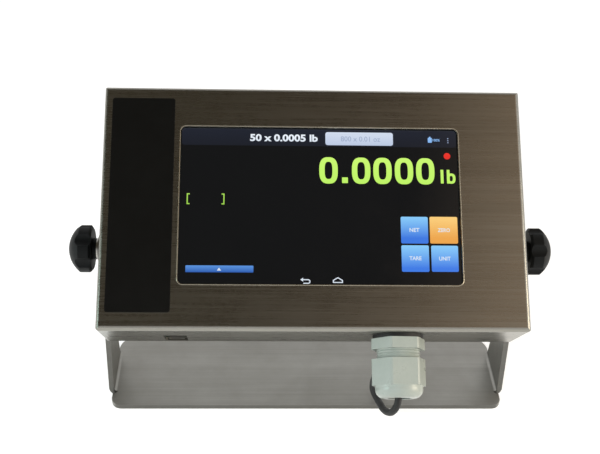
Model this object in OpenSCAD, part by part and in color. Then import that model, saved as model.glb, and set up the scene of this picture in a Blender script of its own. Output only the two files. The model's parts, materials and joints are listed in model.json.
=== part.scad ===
// Weighing indicator: a stainless touch-screen head that tilts in a bent yoke bracket, clamped by two hand
// knobs, with a load-cell cable that leaves through a gland. Millimetres, +Z up, the screen towards -Y, the base
// plate on Z = 0.

/* [Head] */
// Width of the head over its side walls
head_w = 235; // [215:1:260]
// Height of the head, measured along its face
head_h = 138; // [130:1:160]
// Depth of the folded housing, from the face to the back of its flange
head_d = 43.5; // [42:0.5:60]
// Thickness of the housing's sheet
sheet = 1.5; // [1:0.1:1.8]
// Outer radius of the folds round the face
fold_r = 2.5; // [2.1:0.1:4]
// Outer radius of the four welded corners, seen from the front
corner_r = 2; // [1.9:0.1:4]
// Width of the flange turned in at the back for the cover
flange_w = 14; // [13:0.5:18]
// Angle between the face and upright, as the head stands
lean = 50.5; // [48:0.5:53]

/* [Window and label] */
// Width of the screen window
window_w = 155.6; // [150:0.2:160]
// Height of the screen window
window_h = 89.6; // [86:0.2:94]
// Corner radius of the window
window_r = 3; // [1:0.5:5]
// Distance of the window's middle to the right of the face's middle
window_x = 3.3; // [0:0.1:6]
// Height of the window's middle above the bottom of the face
window_up = 70.1; // [66:0.1:76]
// Gap between the label field and the left edge of the face
label_edge = 4.6; // [3:0.1:10]
// Gap between the label field and the window
label_gap = 3.4; // [1:0.1:8]
// Gap between the label field and the bottom of the face
label_bottom = 9.6; // [3:0.1:20]
// Gap between the label field and the top of the face
label_top = 6.9; // [3:0.1:20]
// Thickness of the label
label_t = 0.4; // [0.2:0.1:1]

/* [Yoke bracket] */
// Height of the tilt axis above the surface the plate stands on
pivot_h = 100; // [98:1:120]
// Height of the tilt axis above the bottom of the face, along the face
pivot_up = 50.5; // [46:0.5:56]
// Distance of the tilt axis behind the face
pivot_deep = 28; // [24:0.5:32]
// Thickness of the bracket's sheet
yoke_t = 3; // [2:0.5:4]
// Gap between the head's side and each arm
arm_gap = 0.6; // [0.5:0.1:1.5]
// Width of each arm at its foot, front to back
arm_foot_w = 35; // [30:1:44]
// Width of each arm at its rounded top
arm_top_w = 15.4; // [14:0.2:24]
// Height at which the arms stop tapering
arm_taper_h = 70; // [50:1:80]
// Reach of the base plate in front of the arms
plate_front = 11.5; // [8:0.5:30]
// Reach of the base plate behind the arms
plate_back = 14.5; // [13:0.5:20]

/* [Knobs] */
// Diameter over the knob's lobes
knob_d = 27; // [24:1:32]
// Thickness of the knob's head
knob_t = 13.6; // [11:0.1:16]
// Gap between the arm and the knob's head, spanned by the washer and the hub
knob_gap = 3.3; // [2.5:0.1:5]
// Number of lobes
knob_lobes = 6; // [5:1:8]
// Diameter of the hub between the knob's head and the arm
hub_d = 12; // [11:0.5:13]
// Thread diameter of the knob's stud
stud_d = 6; // [5:1:6]
// Thread pitch of the stud, the travel for each turn
stud_pitch = 1; // [0.8:0.1:1]

/* [Cable gland] */
// Distance of the gland to the right of the head's middle
gland_x = 47; // [40:1:55]
// Distance of the gland's middle behind the face
gland_deep = 18.5; // [17:0.5:20]
// Width of the gland's hexagons across their flats
gland_af = 27; // [26:0.5:28]
// Turn of the gland's hexagons away from square to the face
gland_turn = 8; // [0:1:30]
// Diameter of the hole for the gland in the head's underside
gland_hole_d = 22.5; // [22:0.1:23]

/* [Load-cell cable] */
// Diameter of the cable
cable_d = 4; // [3.5:0.1:4.2]
// Number of turns in the stored coil
coil_turns = 10.25; // [8.25:1:10.25]
// Radius of the coil's outermost turn, to the middle of the cable
coil_r = 34; // [32:0.5:36]
// Gap between neighbouring turns, skin to skin
turn_gap = 0.6; // [0.5:0.1:0.8]

/* [Hidden] */
$fn = 48;
// Overlap that lets one cut run through another
cut = 1;
// Running clearance round a stud, and the smallest gap left between pieces that move past each other
run = 0.2;
// Gap left between fixed pieces that lie against each other
lie = 0.05;

// Colours
STEEL = "#8f8b80";
DARK = "#1c1f20";
GREY = "#b4bcb6";
GREEN = "#1f6b3a";
BRIGHT = "#c8c8c4";

// The display's stack, as depths behind the face
label_r = 1.5;
label_w = head_w / 2 + window_x - window_w / 2 - label_edge - label_gap;
label_h = head_h - label_bottom - label_top;
label_x = label_edge + label_w / 2 - head_w / 2;
label_up = label_bottom + label_h / 2;
gasket_t = 0.6;
glass_t = 1.8;
tape_t = 0.5;
panel_t = 5.7;
clamp_t = 1.2;
glass_lap = 8.2;
glass_w = window_w + 2 * glass_lap;
glass_h = window_h + 2 * glass_lap;
tape_w = 4;
gasket_lap = 1;
panel_lap_x = 4.7;
panel_lap_z = 5.2;
panel_w = window_w + 2 * panel_lap_x;
panel_h = window_h + 2 * panel_lap_z;
panel_r = 1;
screw_in_spacer = 4;
screw_slot = 0.8;
glass_deep = sheet + gasket_t;
tape_deep = glass_deep + glass_t;
panel_deep = tape_deep + tape_t;
clamp_deep = panel_deep + panel_t;
clamp_lap = 9;
clamp_w = glass_w + 2 * clamp_lap;
clamp_h = panel_h;
clamp_r = 3;
clamp_back = clamp_deep + clamp_t;
// Weld studs for the clamp, outside the glass
clamp_stud_d = 3;
clamp_stud_l = 14.5;
clamp_stud_out = 5;
clamp_stud_x = glass_w / 2 + clamp_stud_out;
clamp_stud_z = 40;
m3_nut_af = 5.5;
m3_nut_t = 2.4;
m3_head_d = 5.5;
m3_head_t = 2;

// Circuit boards, behind the clamp: middle across, middle up, width, height
board_t = 1.6;
board_r = 2;
spacer_l = 6;
board_deep = clamp_back + spacer_l;
board_back = board_deep + board_t;
board_inset = 4;
computer_x = -25;
computer_up = 72;
computer_w = 120;
computer_h = 72;
loadcell_x = 66;
loadcell_up = 66;
loadcell_w = 56;
loadcell_h = 50;
computer = [computer_x, computer_up, computer_w, computer_h];
loadcell = [loadcell_x, loadcell_up, loadcell_w, loadcell_h];
computer_bottom = computer_up - computer_h / 2;
loadcell_bottom = loadcell_up - loadcell_h / 2;
board_hole = 3.4;
sink_from_edge = 21;
sink_rise = 8;
sink_w = 28;
sink_base = 1.5;
sink_t = 4.6;
sink_fins = 7;
sink_fin_t = 1.2;
sink_x = computer_x + computer_w / 2 - sink_from_edge;
sink_up = computer_up + sink_rise;
terminal_w = 30.5;
terminal_h = 10;
terminal_t = 11;
terminal_off = 4;
terminal_rise = 7;
terminal_x = loadcell_x - terminal_off;
terminal_up = loadcell_bottom + terminal_rise;
terminal_ways = 6;
terminal_pitch = 5;
terminal_screw_d = 3;
terminal_screw_deep = 2;
terminal_mouth = 2.6;
terminal_mouth_deep = 5;
// The flat ribbon that joins the panel to the computer board
ribbon_w = 28;
ribbon_t = 0.3;
ribbon_off = 3;
ribbon_drop = 7;
ribbon_rise = 6;
ribbon_in = 4;
ribbon_x = computer_x + ribbon_off;
ribbon_up = computer_bottom - ribbon_drop;
ribbon_top = computer_bottom + ribbon_rise;
ribbon_near = clamp_deep + ribbon_t / 2 + lie;
ribbon_lift = 1.3;
ribbon_far = board_back + ribbon_lift;
ribbon_bend = (ribbon_far - ribbon_near) / 2;
socket_h = 5;
socket_t = 2.6;
socket_slot = 0.5;
// Openings in the clamp behind the boards, as shares of their size, and one for the ribbon, each as middle
// across, middle up, width, height
clamp_window_share = 0.6;
clamp_windows = concat(
    [for (b = [computer, loadcell]) [b[0], b[1], b[2] * clamp_window_share, b[3] * clamp_window_share]],
    [[ribbon_x, ribbon_up, ribbon_w + 2 * ribbon_in, 2 * (ribbon_in + clamp_t)]]
);

// Rear cover and its screws
cover_t = 1.5;
cover_inset = 4;
cover_r = 3;
seal_t = 1;
seal_inset = 4.5;
seal_w = flange_w - seal_inset - run;
cover_deep = head_d + seal_t;
screw_off_middle = 1.3;
screw_inset = flange_w / 2 + screw_off_middle;
screw_d = 4;
screw_l = 9;
screw_head_d = 7.6;
screw_head_t = 2.2;
screw_key = 2.5;
screw_key_deep = 1.3;
rivet_d = 6;
rivet_l = 8;
rivet_lip_d = 8;
rivet_lip_t = 0.8;

// Battery, on the inside of the rear cover
cell_d = 18.4;
cell_l = 65;
cell_gap = 0.6;
cell_cap_d = 7;
cell_cap_t = 1;
battery_x = -45;
battery_rise = 3;
battery_up = head_h / 2 + battery_rise;
holder_wall = 1.8;
holder_base = 1.8;
holder_h = 11;
holder_end_room = 1;
holder_w = cell_l + 2 * (cell_cap_t + holder_wall + holder_end_room);
holder_tall = 2 * cell_d + 3 * cell_gap + 2 * holder_wall;
strap_w = 12;
strap_t = 0.8;
cell_deep = cover_deep - holder_base - cell_d / 2 - run;

// Charging socket, in a slot at the back of the head's underside
usb_x = -76.4;
usb_slot_w = 12.8;
usb_slot_near = 20;
usb_slot_far = 40;
usb_slot_r = 1;
usb_w = 9;
usb_t = 3.3;
usb_l = 7.5;
usb_wall = 0.35;
usb_deep = 36;
usb_recess = 0.6;
usb_tongue_w = 6.7;
usb_tongue_t = 0.7;
usb_tongue_l = 5.5;
usb_board_w = 16;
usb_board_h = 22;
usb_board_t = 1.2;
usb_bracket_w = 30;
usb_bracket_foot = 7;
usb_bracket_t = 1;
usb_bracket_h = 24;
usb_shell_r = 1.5;

// Gland, as lengths along its axis below the underside
washer_t = 2;
washer_d = 28;
hex_l = 6;
neck_d = 24;
neck_l = 5.2;
cap_hex_l = 14.5;
cap_chamfer = 1.3;
hex_corner_d = 30.4;
dome_d = 26.4;
dome_r = 5;
mouth_d = 13.4;
gland_l = 34.5;
gland_bore = 15;
gland_slack = 0.3;
gland_thread_d = gland_hole_d - gland_slack;
gland_thread_l = 9;
thread_pitch = 1.5;
thread_deep = 0.5;
locknut_t = 4.5;
claw_seat_d = 17.8;
claw_wall = 1.4;
claw_start = 15;
claw_l = 14;
claw_slots = 8;
claw_slot_w = 1.2;
claw_slot_l = 7;
neck_end = 21;
cap_bore_end = 23;
cap_cone_end = 29.4;
gland_seat = washer_t + hex_l;
cap_start = gland_seat + neck_l;
cap_hex_end = cap_start + cap_hex_l;
inner_cable_l = 14;

// Tilt pivot, as distances from the middle of the head
side = head_w / 2;
arm_in = side + arm_gap;
arm_out = arm_in + yoke_t;
bend_in_r = 2;
notch_r = 1.5;
tongue_out = 0.7;
tongue_w = 2 * (arm_in + tongue_out);
front_corner_r = 6;
back_corner_r = 12;
bend_line = arm_in - bend_in_r;
arm_top_r = arm_top_w / 2;
pivot_bore = stud_d + 2 * run;
friction_t = arm_gap - 2 * lie;
friction_d = 14;
nut_af = 10;
nut_t = 5;
knob_washer_t = 1;
knob_in = arm_out + knob_washer_t + 2 * lie;
hub_t = knob_gap - knob_washer_t - 2 * lie;
knob_face = knob_in + hub_t;
knob_out = knob_face + knob_t;
rim_slope = 1.2;
knob_dome_r = 17;
lobe_cut_r = 5;
lobe_cut_deep = 1.8;
stud_through = 1;
stud_tip = side - sheet - nut_t - lie - stud_through;
stud_in_knob = 9;
// Turn of each knob's lobes from straight up
left_turn = 0;
right_turn = 20;

// Cable route from the gland to the plate, chosen by hand: out of the gland, round in a short loop, and back
// under the head
loop_points = [
    [46, -72.6, 49.4], [43.6, -72, 43], [40.6, -66.6, 38.6], [38.1, -57, 36], [36.3, -45, 33.4],
    [38.4, -32, 28.6], [42.4, -19, 21], [47, -6, 12.4]
];
// Heights of the cable's middle where it lies on the plate and on the floor
on_plate = yoke_t + cable_d / 2 + run;
on_floor = cable_d / 2 + lie;
// From where the loop comes down, over the plate's back edge and down to the floor. The rises keep the curve
// from dipping into the plate and the floor between its points.
plate_rise = 1.2;
floor_rise = 0.1;
run_points = [[50.2, 6, on_plate + plate_rise], [52.8, 18, on_plate], [54, 31, on_plate], [54, 43, 3.5],
    [54, 55, on_floor + floor_rise], [54, 66, on_floor]];
coil_pitch = cable_d + turn_gap;
coil_layer = coil_pitch;
coil_y = 78;
coil_centre = [run_points[len(run_points) - 1][0] - coil_r, coil_y];
coil_rings = 24;
coil_sides = 6;
cable_sides = 8;
curve_steps = 4;
// Plug at the far end, lying behind the coil
grip_d = 17;
plug_x = -4;
plug_y = coil_centre[1] + coil_r;
plug_z = grip_d / 2 + lie;
lead_points = [[15, plug_y, 6.8], [10, plug_y, 7.2], [5, plug_y, 7.9], [0, plug_y, 8.4]];
boot_l = 18;
boot_tip_d = 6.4;
boot_end_d = 11;
boot_grooves = 4;
boot_groove_w = 1.3;
boot_groove_deep = 0.7;
grip_l = 24;
grip_flutes = 12;
grip_flute_r = 1.2;
grip_edge = 1;
shell_d = 13.2;
shell_wall = 0.7;
shell_l = 11;
shell_seat = 4;
shell_seat_d = 12.6;
shell_neck = 0.3;
shell_whole = shell_seat + shell_neck + shell_l;
insert_recess = 1.5;
insert_l = shell_whole - insert_recess;
contact_d = 2;
contact_bore = 1.2;
contact_l = 8;
contact_circle_r = 3.6;
contact_count = 6;
wire_d = 1.2;
wire_sides = 6;
wire_rings = 6;
wire_mid = 26;
wire_count = 4;

// Places in the head's own frame: x across, deep behind the face, up from the bottom of the face
function face_point(x, deep, up) = [x, deep - pivot_deep, up - pivot_up];

// The same place in the part's frame, with the head leaning as it stands
function stand_point(p) = [
    p[0], p[2] * sin(lean) + p[1] * cos(lean), pivot_h + p[2] * cos(lean) - p[1] * sin(lean)
];

// A point on the gland's axis, so far below the underside, in the part's frame
function gland_point(l) = stand_point(face_point(gland_x, gland_deep, -l));

// Catmull-Rom curve. It runs through every point but the first and the last, which only steer its ends.
function curve_at(a, b, c, d, t) = 0.5 * (
    2 * b + (c - a) * t + (2 * a - 5 * b + 4 * c - d) * t * t + (3 * b - a - 3 * c + d) * t * t * t
);
function curve(points, steps) = concat(
    [for (i = [1 : len(points) - 3], k = [0 : steps - 1])
        curve_at(points[i - 1], points[i], points[i + 1], points[i + 2], k / steps)],
    [points[len(points) - 2]]
);
function part_of(list, from, to) = [for (i = [from : to]) list[i]];

// Coil: in along the lower layer, up at the middle, and out along the upper layer
function ease(t) = let (s = min(1, max(0, t))) s * s * (3 - 2 * s);
function coil_point(u) = let (
    half = coil_turns / 2,
    r = coil_r - coil_pitch * (half - abs(u - half)),
    z = on_floor + coil_layer * ease((u - half + 0.4) / 0.8)
) [coil_centre[0] + r * cos(360 * u), coil_centre[1] + r * sin(360 * u), z];
coil_path = [for (i = [0 : coil_turns * coil_rings]) coil_point(i / coil_rings)];
coil_last = len(coil_path) - 1;

// The free cable in one curve, from inside the gland to the coil, cut where it touches the plate. The stretch
// inside the gland is straight, and so is the coil's first one.
cable_in = 9;
straight_in = 4;
cable_start = gland_l - cable_in;
straight_end = gland_l - straight_in;
coil_start = coil_path[0] - [0, cable_d, 0];
route = concat([gland_point(cable_start)], curve(concat(
    [gland_point(cable_start), gland_point(straight_end)], loop_points, run_points, [coil_start, coil_path[0]]
), curve_steps));
touch_down = (len(loop_points) + 1) * curve_steps + 1;
loop_path = part_of(route, 0, touch_down);
run_path = part_of(route, touch_down, len(route) - 1);
gland_way = gland_point(1) - gland_point(0);
touch_way = route[touch_down + 1] - route[touch_down - 1];
coil_way = [0, 1, 0];
plug_way = [-1, 0, 0];
lead_path = concat(curve(concat(
    [coil_path[coil_last] - cable_d * plug_way, coil_path[coil_last]], lead_points,
    [[plug_x, plug_y, plug_z], [plug_x, plug_y, plug_z] + cable_d * plug_way]
), curve_steps), [[plug_x, plug_y, plug_z] + boot_l * plug_way]);

// For the log: least gap between turns of the coil, tightest bends of the free cable, and its whole length
function bend_r(a, b, c) = let (s = norm(cross(b - a, c - b)))
    s < 0.0001 ? 1000 : norm(b - a) * norm(c - b) * norm(c - a) / (2 * s);
function tightest(path) = min([for (i = [1 : len(path) - 2]) bend_r(path[i - 1], path[i], path[i + 1])]);
function path_l(path, i = 0) = i == len(path) - 1 ? 0 : norm(path[i + 1] - path[i]) + path_l(path, i + 1);
coil_gap = min([for (i = [0 : coil_last], j = [i + coil_rings / 2 : coil_last])
    norm(coil_path[i] - coil_path[j])]) - cable_d;
echo(coil_gap = coil_gap, loop_bend = tightest(loop_path), run_bend = tightest(run_path),
    lead_bend = tightest(lead_path), cable_l = path_l(route) + path_l(coil_path) + path_l(lead_path));

// Rounded rectangle about the origin
module rounded(w, h, r) {
    square([w - 2 * r, h], center = true);
    square([w, h - 2 * r], center = true);
    for (x = [-1, 1], y = [-1, 1]) translate([x * (w / 2 - r), y * (h / 2 - r)]) circle(r);
}

// Rectangle from y = 0 to y = d, with only its two corners at y = 0 rounded
module front_rounded(w, d, r) {
    translate([-w / 2, r]) square([w, d - r]);
    translate([-w / 2 + r, 0]) square([w - 2 * r, d]);
    for (x = [-1, 1]) translate([x * (w / 2 - r), r]) circle(r);
}

// Tilts a piece from the head's own frame to where the head stands
module in_head() {
    translate([0, 0, pivot_h]) rotate([-lean, 0, 0]) children();
}

// Places a piece by its distance across, behind the face, and above the face's bottom edge
module at_face(x, deep, up) {
    translate(face_point(x, deep, up)) children();
}

// Upright rounded plate, starting at y = 0 and going back
module slab(w, h, t, r) {
    rotate([-90, 0, 0]) linear_extrude(t) rounded(w, h, r);
}

// Turns a shape made along +Z so that it points to the head's back
module backwards() {
    rotate([-90, 0, 0]) children();
}

// Box folded from sheet, with its face at y = 0: rounded folds round the face, rounded upright corners
module folded_box(w, h, d, fold, corner) {
    intersection() {
        slab(w, h, d, corner);
        translate([0, 0, -h]) linear_extrude(2 * h) front_rounded(w, d, fold);
        translate([-w, 0, 0]) rotate([90, 0, 90]) linear_extrude(2 * w) rotate(-90) front_rounded(h, d, fold);
    }
}

// Places for the cover's screws, in the head's frame
screw_x = side - screw_inset;
screw_z = head_h / 2 - screw_inset;
screw_places = concat(
    [for (x = [-1, 0, 1], z = [-1, 1]) [x * screw_x, head_h / 2 + z * screw_z]],
    [for (x = [-1, 1]) [x * screw_x, head_h / 2]]
);

module front_housing() {
    color(STEEL) in_head() difference() {
        at_face(0, 0, head_h / 2) folded_box(head_w, head_h, head_d, fold_r, corner_r);
        at_face(0, sheet, head_h / 2) folded_box(
            head_w - 2 * sheet, head_h - 2 * sheet, head_d - 2 * sheet, fold_r - sheet, corner_r - sheet
        );
        at_face(0, head_d - sheet - cut, head_h / 2)
            slab(head_w - 2 * flange_w, head_h - 2 * flange_w, sheet + 2 * cut, window_r);
        at_face(window_x, -cut, window_up) slab(window_w, window_h, sheet + 2 * cut, window_r);
        at_face(usb_x, (usb_slot_near + usb_slot_far) / 2, -cut)
            linear_extrude(sheet + 2 * cut) rounded(usb_slot_w, usb_slot_far - usb_slot_near, usb_slot_r);
        at_face(gland_x, gland_deep, -cut) cylinder(d = gland_hole_d, h = sheet + 2 * cut);
        at_face(-side - cut, pivot_deep, pivot_up) rotate([0, 90, 0])
            cylinder(d = pivot_bore, h = head_w + 2 * cut);
        for (p = screw_places) at_face(p[0], head_d - sheet - cut, p[1])
            backwards() cylinder(d = rivet_d + 2 * lie, h = sheet + 2 * cut);
    }
}

module rear_cover() {
    color(STEEL) in_head() difference() {
        at_face(0, cover_deep, head_h / 2)
            slab(head_w - 2 * cover_inset, head_h - 2 * cover_inset, cover_t, cover_r);
        for (p = screw_places) at_face(p[0], cover_deep - cut, p[1])
            backwards() cylinder(d = screw_d + 2 * run, h = cover_t + 2 * cut);
    }
}

module cover_gasket() {
    color(DARK) in_head() difference() {
        at_face(0, head_d + lie, head_h / 2)
            slab(head_w - 2 * seal_inset, head_h - 2 * seal_inset, seal_t - 2 * lie, cover_r);
        at_face(0, head_d - cut, head_h / 2) slab(
            head_w - 2 * (seal_inset + seal_w), head_h - 2 * (seal_inset + seal_w), seal_t + 2 * cut, window_r
        );
        for (p = screw_places) at_face(p[0], head_d - cut, p[1])
            backwards() cylinder(d = rivet_lip_d + 2 * run, h = seal_t + 2 * cut);
    }
}

module cover_screws() {
    color(BRIGHT) in_head() for (p = screw_places)
        at_face(p[0], cover_deep + cover_t, p[1]) backwards() difference() {
        union() {
            translate([0, 0, lie]) cylinder(d = screw_head_d, h = screw_head_t);
            translate([0, 0, -screw_l]) cylinder(d = screw_d, h = screw_l + cut);
        }
        translate([0, 0, screw_head_t + lie - screw_key_deep])
            cylinder(d = screw_key / cos(30), h = 2 * cut + screw_key_deep, $fn = 6);
    }
}

// Threaded inserts, set in the flange from behind
module rivet_nuts() {
    color(BRIGHT) in_head() for (p = screw_places) at_face(p[0], head_d, p[1]) backwards() difference() {
        union() {
            translate([0, 0, -sheet - rivet_l]) cylinder(d = rivet_d, h = rivet_l + sheet + cut / 2);
            translate([0, 0, lie]) cylinder(d = rivet_lip_d, h = rivet_lip_t);
            translate([0, 0, -sheet - lie - rivet_lip_t]) cylinder(d = rivet_lip_d, h = rivet_lip_t);
        }
        translate([0, 0, -sheet - rivet_l - cut]) cylinder(d = screw_d + lie, h = rivet_l + sheet + 3 * cut);
    }
}

module label_plate() {
    color(DARK) in_head() at_face(label_x, -label_t, label_up) slab(label_w, label_h, label_t, label_r);
}

// Flat frame with a rounded opening, lying between fixed pieces with a small gap on each side
module flat_frame(w, h, t, inner_w, inner_h) {
    difference() {
        translate([0, lie, 0]) slab(w, h, t - 2 * lie, window_r);
        translate([0, -cut, 0]) slab(inner_w, inner_h, t + 2 * cut, window_r);
    }
}

module window_gasket() {
    color(DARK) in_head() at_face(window_x, sheet, window_up)
        flat_frame(glass_w, glass_h, gasket_t, window_w + 2 * gasket_lap, window_h + 2 * gasket_lap);
}

module touch_glass() {
    color("#0b0c0d") in_head() at_face(window_x, glass_deep, window_up)
        slab(glass_w, glass_h, glass_t, window_r);
}

module panel_tape() {
    color("#e8e8e0") in_head() at_face(window_x, tape_deep, window_up)
        flat_frame(panel_w, panel_h, tape_t, panel_w - 2 * tape_w, panel_h - 2 * tape_w);
}

module lcd_panel() {
    color("#3a3d40") in_head() at_face(window_x, panel_deep, window_up)
        slab(panel_w, panel_h, panel_t, panel_r);
}

// Places of the display clamp's studs, and of a board's screws, as distances across and up
stud_places = [for (x = [-1, 1], z = [-1, 1]) [window_x + x * clamp_stud_x, window_up + z * clamp_stud_z]];
function board_corners(b) = [for (x = [-1, 1], z = [-1, 1])
    [b[0] + x * (b[2] / 2 - board_inset), b[1] + z * (b[3] / 2 - board_inset)]];
board_places = concat(board_corners(computer), board_corners(loadcell));

module display_clamp() {
    color(BRIGHT) in_head() difference() {
        at_face(window_x, clamp_deep + lie, window_up) slab(clamp_w, clamp_h, clamp_t - lie, clamp_r);
        for (w = clamp_windows) at_face(w[0], clamp_deep - cut, w[1])
            slab(w[2], w[3], clamp_t + 2 * cut, clamp_r);
        for (p = stud_places) at_face(p[0], clamp_deep - cut, p[1])
            backwards() cylinder(d = clamp_stud_d + 2 * run, h = clamp_t + 2 * cut);
    }
}

// Studs welded to the inside of the face
module clamp_studs() {
    color(BRIGHT) in_head() for (p = stud_places) at_face(p[0], sheet, p[1])
        backwards() cylinder(d = clamp_stud_d, h = clamp_stud_l);
}

module clamp_nuts() {
    color(BRIGHT) in_head() for (p = stud_places)
        at_face(p[0], clamp_back + lie, p[1]) backwards() difference() {
        cylinder(d = m3_nut_af / cos(30), h = m3_nut_t, $fn = 6);
        translate([0, 0, -cut]) cylinder(d = clamp_stud_d + lie, h = m3_nut_t + 2 * cut);
    }
}

// Circuit board b = [middle across, middle up, width, height] with a screw hole at each corner
module circuit_board(b) {
    difference() {
        at_face(b[0], board_deep, b[1]) slab(b[2], b[3], board_t, board_r);
        for (p = board_corners(b)) at_face(p[0], board_deep - cut, p[1])
            backwards() cylinder(d = board_hole, h = board_t + 2 * cut);
    }
}

module computer_board() {
    color(GREEN) in_head() circuit_board(computer);
}

module load_cell_board() {
    color(GREEN) in_head() circuit_board(loadcell);
}

module heat_sink() {
    step = (sink_w - sink_fin_t) / (sink_fins - 1);
    color("#30363a") in_head() at_face(sink_x, board_back + lie, sink_up) {
        slab(sink_w, sink_w, sink_base, board_r / 2);
        for (i = [0 : sink_fins - 1])
            translate([-sink_w / 2 + i * step, 0, -sink_w / 2]) cube([sink_fin_t, sink_t, sink_w]);
    }
}

module board_spacers() {
    color(BRIGHT) in_head() for (p = board_places)
        at_face(p[0], clamp_back + lie, p[1]) backwards() difference() {
        cylinder(d = m3_nut_af / cos(30), h = spacer_l - 2 * lie, $fn = 6);
        translate([0, 0, spacer_l - screw_in_spacer - cut]) cylinder(d = clamp_stud_d + lie, h = spacer_l);
    }
}

module board_screws() {
    color(BRIGHT) in_head() for (p = board_places)
        at_face(p[0], board_back + lie, p[1]) backwards() difference() {
        union() {
            cylinder(d = m3_head_d, h = m3_head_t);
            translate([0, 0, -board_t - screw_in_spacer])
                cylinder(d = clamp_stud_d, h = board_t + screw_in_spacer + cut);
        }
        translate([-m3_head_d / 2, -screw_slot / 2, m3_head_t - screw_slot])
            cube([m3_head_d, screw_slot, screw_slot + cut]);
    }
}

module terminal_block() {
    color("#2f7d4d") in_head() at_face(terminal_x, board_back + lie, terminal_up) difference() {
        slab(terminal_w, terminal_h, terminal_t, board_r / 4);
        for (i = [0 : terminal_ways - 1]) translate([terminal_at(i), terminal_t, 0])
            rotate([90, 0, 0]) translate([0, 0, -cut])
                cylinder(d = terminal_screw_d, h = terminal_screw_deep + cut);
        for (i = [0 : terminal_ways - 1]) translate([terminal_at(i), terminal_t / 2, -terminal_h / 2 - cut])
            cylinder(d = terminal_mouth, h = terminal_mouth_deep + cut);
    }
}

// Distance of one way of the terminal block from its middle
function terminal_at(i) = (i - (terminal_ways - 1) / 2) * terminal_pitch;

module ribbon_socket() {
    color("#d8d2bd") in_head() difference() {
        at_face(ribbon_x, board_back + lie, ribbon_top + socket_h / 2)
            slab(ribbon_w + 2 * socket_t, socket_h, socket_t, socket_slot);
        at_face(ribbon_x, ribbon_far - socket_slot / 2, ribbon_top)
            slab(ribbon_w + 2 * run, 2 * ribbon_in, socket_slot, socket_slot / 3);
    }
}

// Flat ribbon: down the back of the panel, round under the board's edge and up into its socket
module display_ribbon() {
    color("#c9a86a") in_head() at_face(ribbon_x - ribbon_w / 2, 0, 0)
        rotate([90, 0, 90]) linear_extrude(ribbon_w) {
        translate([ribbon_near - ribbon_t / 2, ribbon_up]) square([ribbon_t, ribbon_in]);
        translate([ribbon_far - ribbon_t / 2, ribbon_up])
            square([ribbon_t, ribbon_top + ribbon_in - cut - ribbon_up]);
        translate([(ribbon_near + ribbon_far) / 2, ribbon_up]) difference() {
            circle(ribbon_bend + ribbon_t / 2);
            circle(ribbon_bend - ribbon_t / 2);
            translate([-ribbon_far, 0]) square(2 * ribbon_far);
        }
    }
}

// Tube along a path, its end faces square to the ways given. No stretch may run along the direction side_on.
module tube(path, d, sides, side_on, start_way, end_way) {
    last = len(path) - 1;
    function way(i) = i == 0 ? start_way : i == last ? end_way : path[i + 1] - path[i - 1];
    function ring(i) = let (t = way(i) / norm(way(i)), n = cross(t, side_on), u = n / norm(n), v = cross(t, u))
        [for (k = [0 : sides - 1]) path[i] + d / 2 * (cos(360 * k / sides) * u + sin(360 * k / sides) * v)];
    polyhedron(
        points = [for (i = [0 : last]) each ring(i)],
        faces = concat(
            [[for (k = [0 : sides - 1]) k]],
            [[for (k = [sides - 1 : -1 : 0]) last * sides + k]],
            [for (i = [0 : last - 1], k = [0 : sides - 1]) let (j = (k + 1) % sides)
                [i * sides + k, (i + 1) * sides + k, (i + 1) * sides + j, i * sides + j]]
        ),
        convexity = 10
    );
}

// Cores from the cable's end up into the terminal block
module load_cell_wires() {
    wire_side_on = [1, 0.3, 0];
    wire_way = face_point(0, 0, 1) - face_point(0, 0, 0);
    color("#a23b2e") in_head() for (i = [0 : wire_count - 1]) {
        from = gland_x + (i - (wire_count - 1) / 2) * wire_d;
        to = terminal_x + terminal_at(i);
        deep = board_back + terminal_t / 2;
        mouth_up = terminal_up - terminal_h / 2;
        tube(curve([
            face_point(from, gland_deep, 0), face_point(from, gland_deep, inner_cable_l + lie),
            face_point((from + to) / 2, (gland_deep + deep) / 2, wire_mid),
            face_point(to, deep, mouth_up - terminal_mouth_deep),
            face_point(to, deep, mouth_up + terminal_mouth_deep - run), face_point(to, deep, terminal_up)
        ], wire_rings), wire_d, wire_sides, wire_side_on, wire_way, wire_way);
    }
}

module battery_holder() {
    color(DARK) in_head() difference() {
        at_face(battery_x, cover_deep - holder_h, battery_up)
            slab(holder_w, holder_tall, holder_h - lie, clamp_r);
        at_face(battery_x, cover_deep - holder_h - cut, battery_up) slab(
            holder_w - 2 * holder_wall, holder_tall - 2 * holder_wall,
            holder_h - holder_base + cut, clamp_r / 2
        );
    }
}

module battery_cells() {
    color("#2c4f8f") in_head() for (z = [-1, 1])
        at_face(battery_x - cell_l / 2, cell_deep, battery_up + z * (cell_d + cell_gap) / 2)
            rotate([0, 90, 0]) {
                cylinder(d = cell_d, h = cell_l);
                cylinder(d = cell_cap_d, h = cell_l + cell_cap_t);
            }
}

// Steel strap over the cells, with a foot on the cover at each end
module battery_strap() {
    near = cell_deep - cell_d / 2 - run;
    tall = holder_tall + 2 * run;
    color(BRIGHT) in_head() at_face(battery_x, 0, battery_up) {
        translate([0, near - strap_t, 0]) slab(strap_w, tall + 2 * strap_t, strap_t, strap_t / 4);
        for (z = [-1, 1]) {
            translate([-strap_w / 2, near - strap_t, z * (tall + strap_t) / 2 - strap_t / 2])
                cube([strap_w, cover_deep - near + strap_t - lie, strap_t]);
            translate([0, cover_deep - lie - strap_t, z * (tall + strap_w) / 2])
                slab(strap_w, strap_w, strap_t, strap_t / 4);
        }
    }
}

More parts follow.
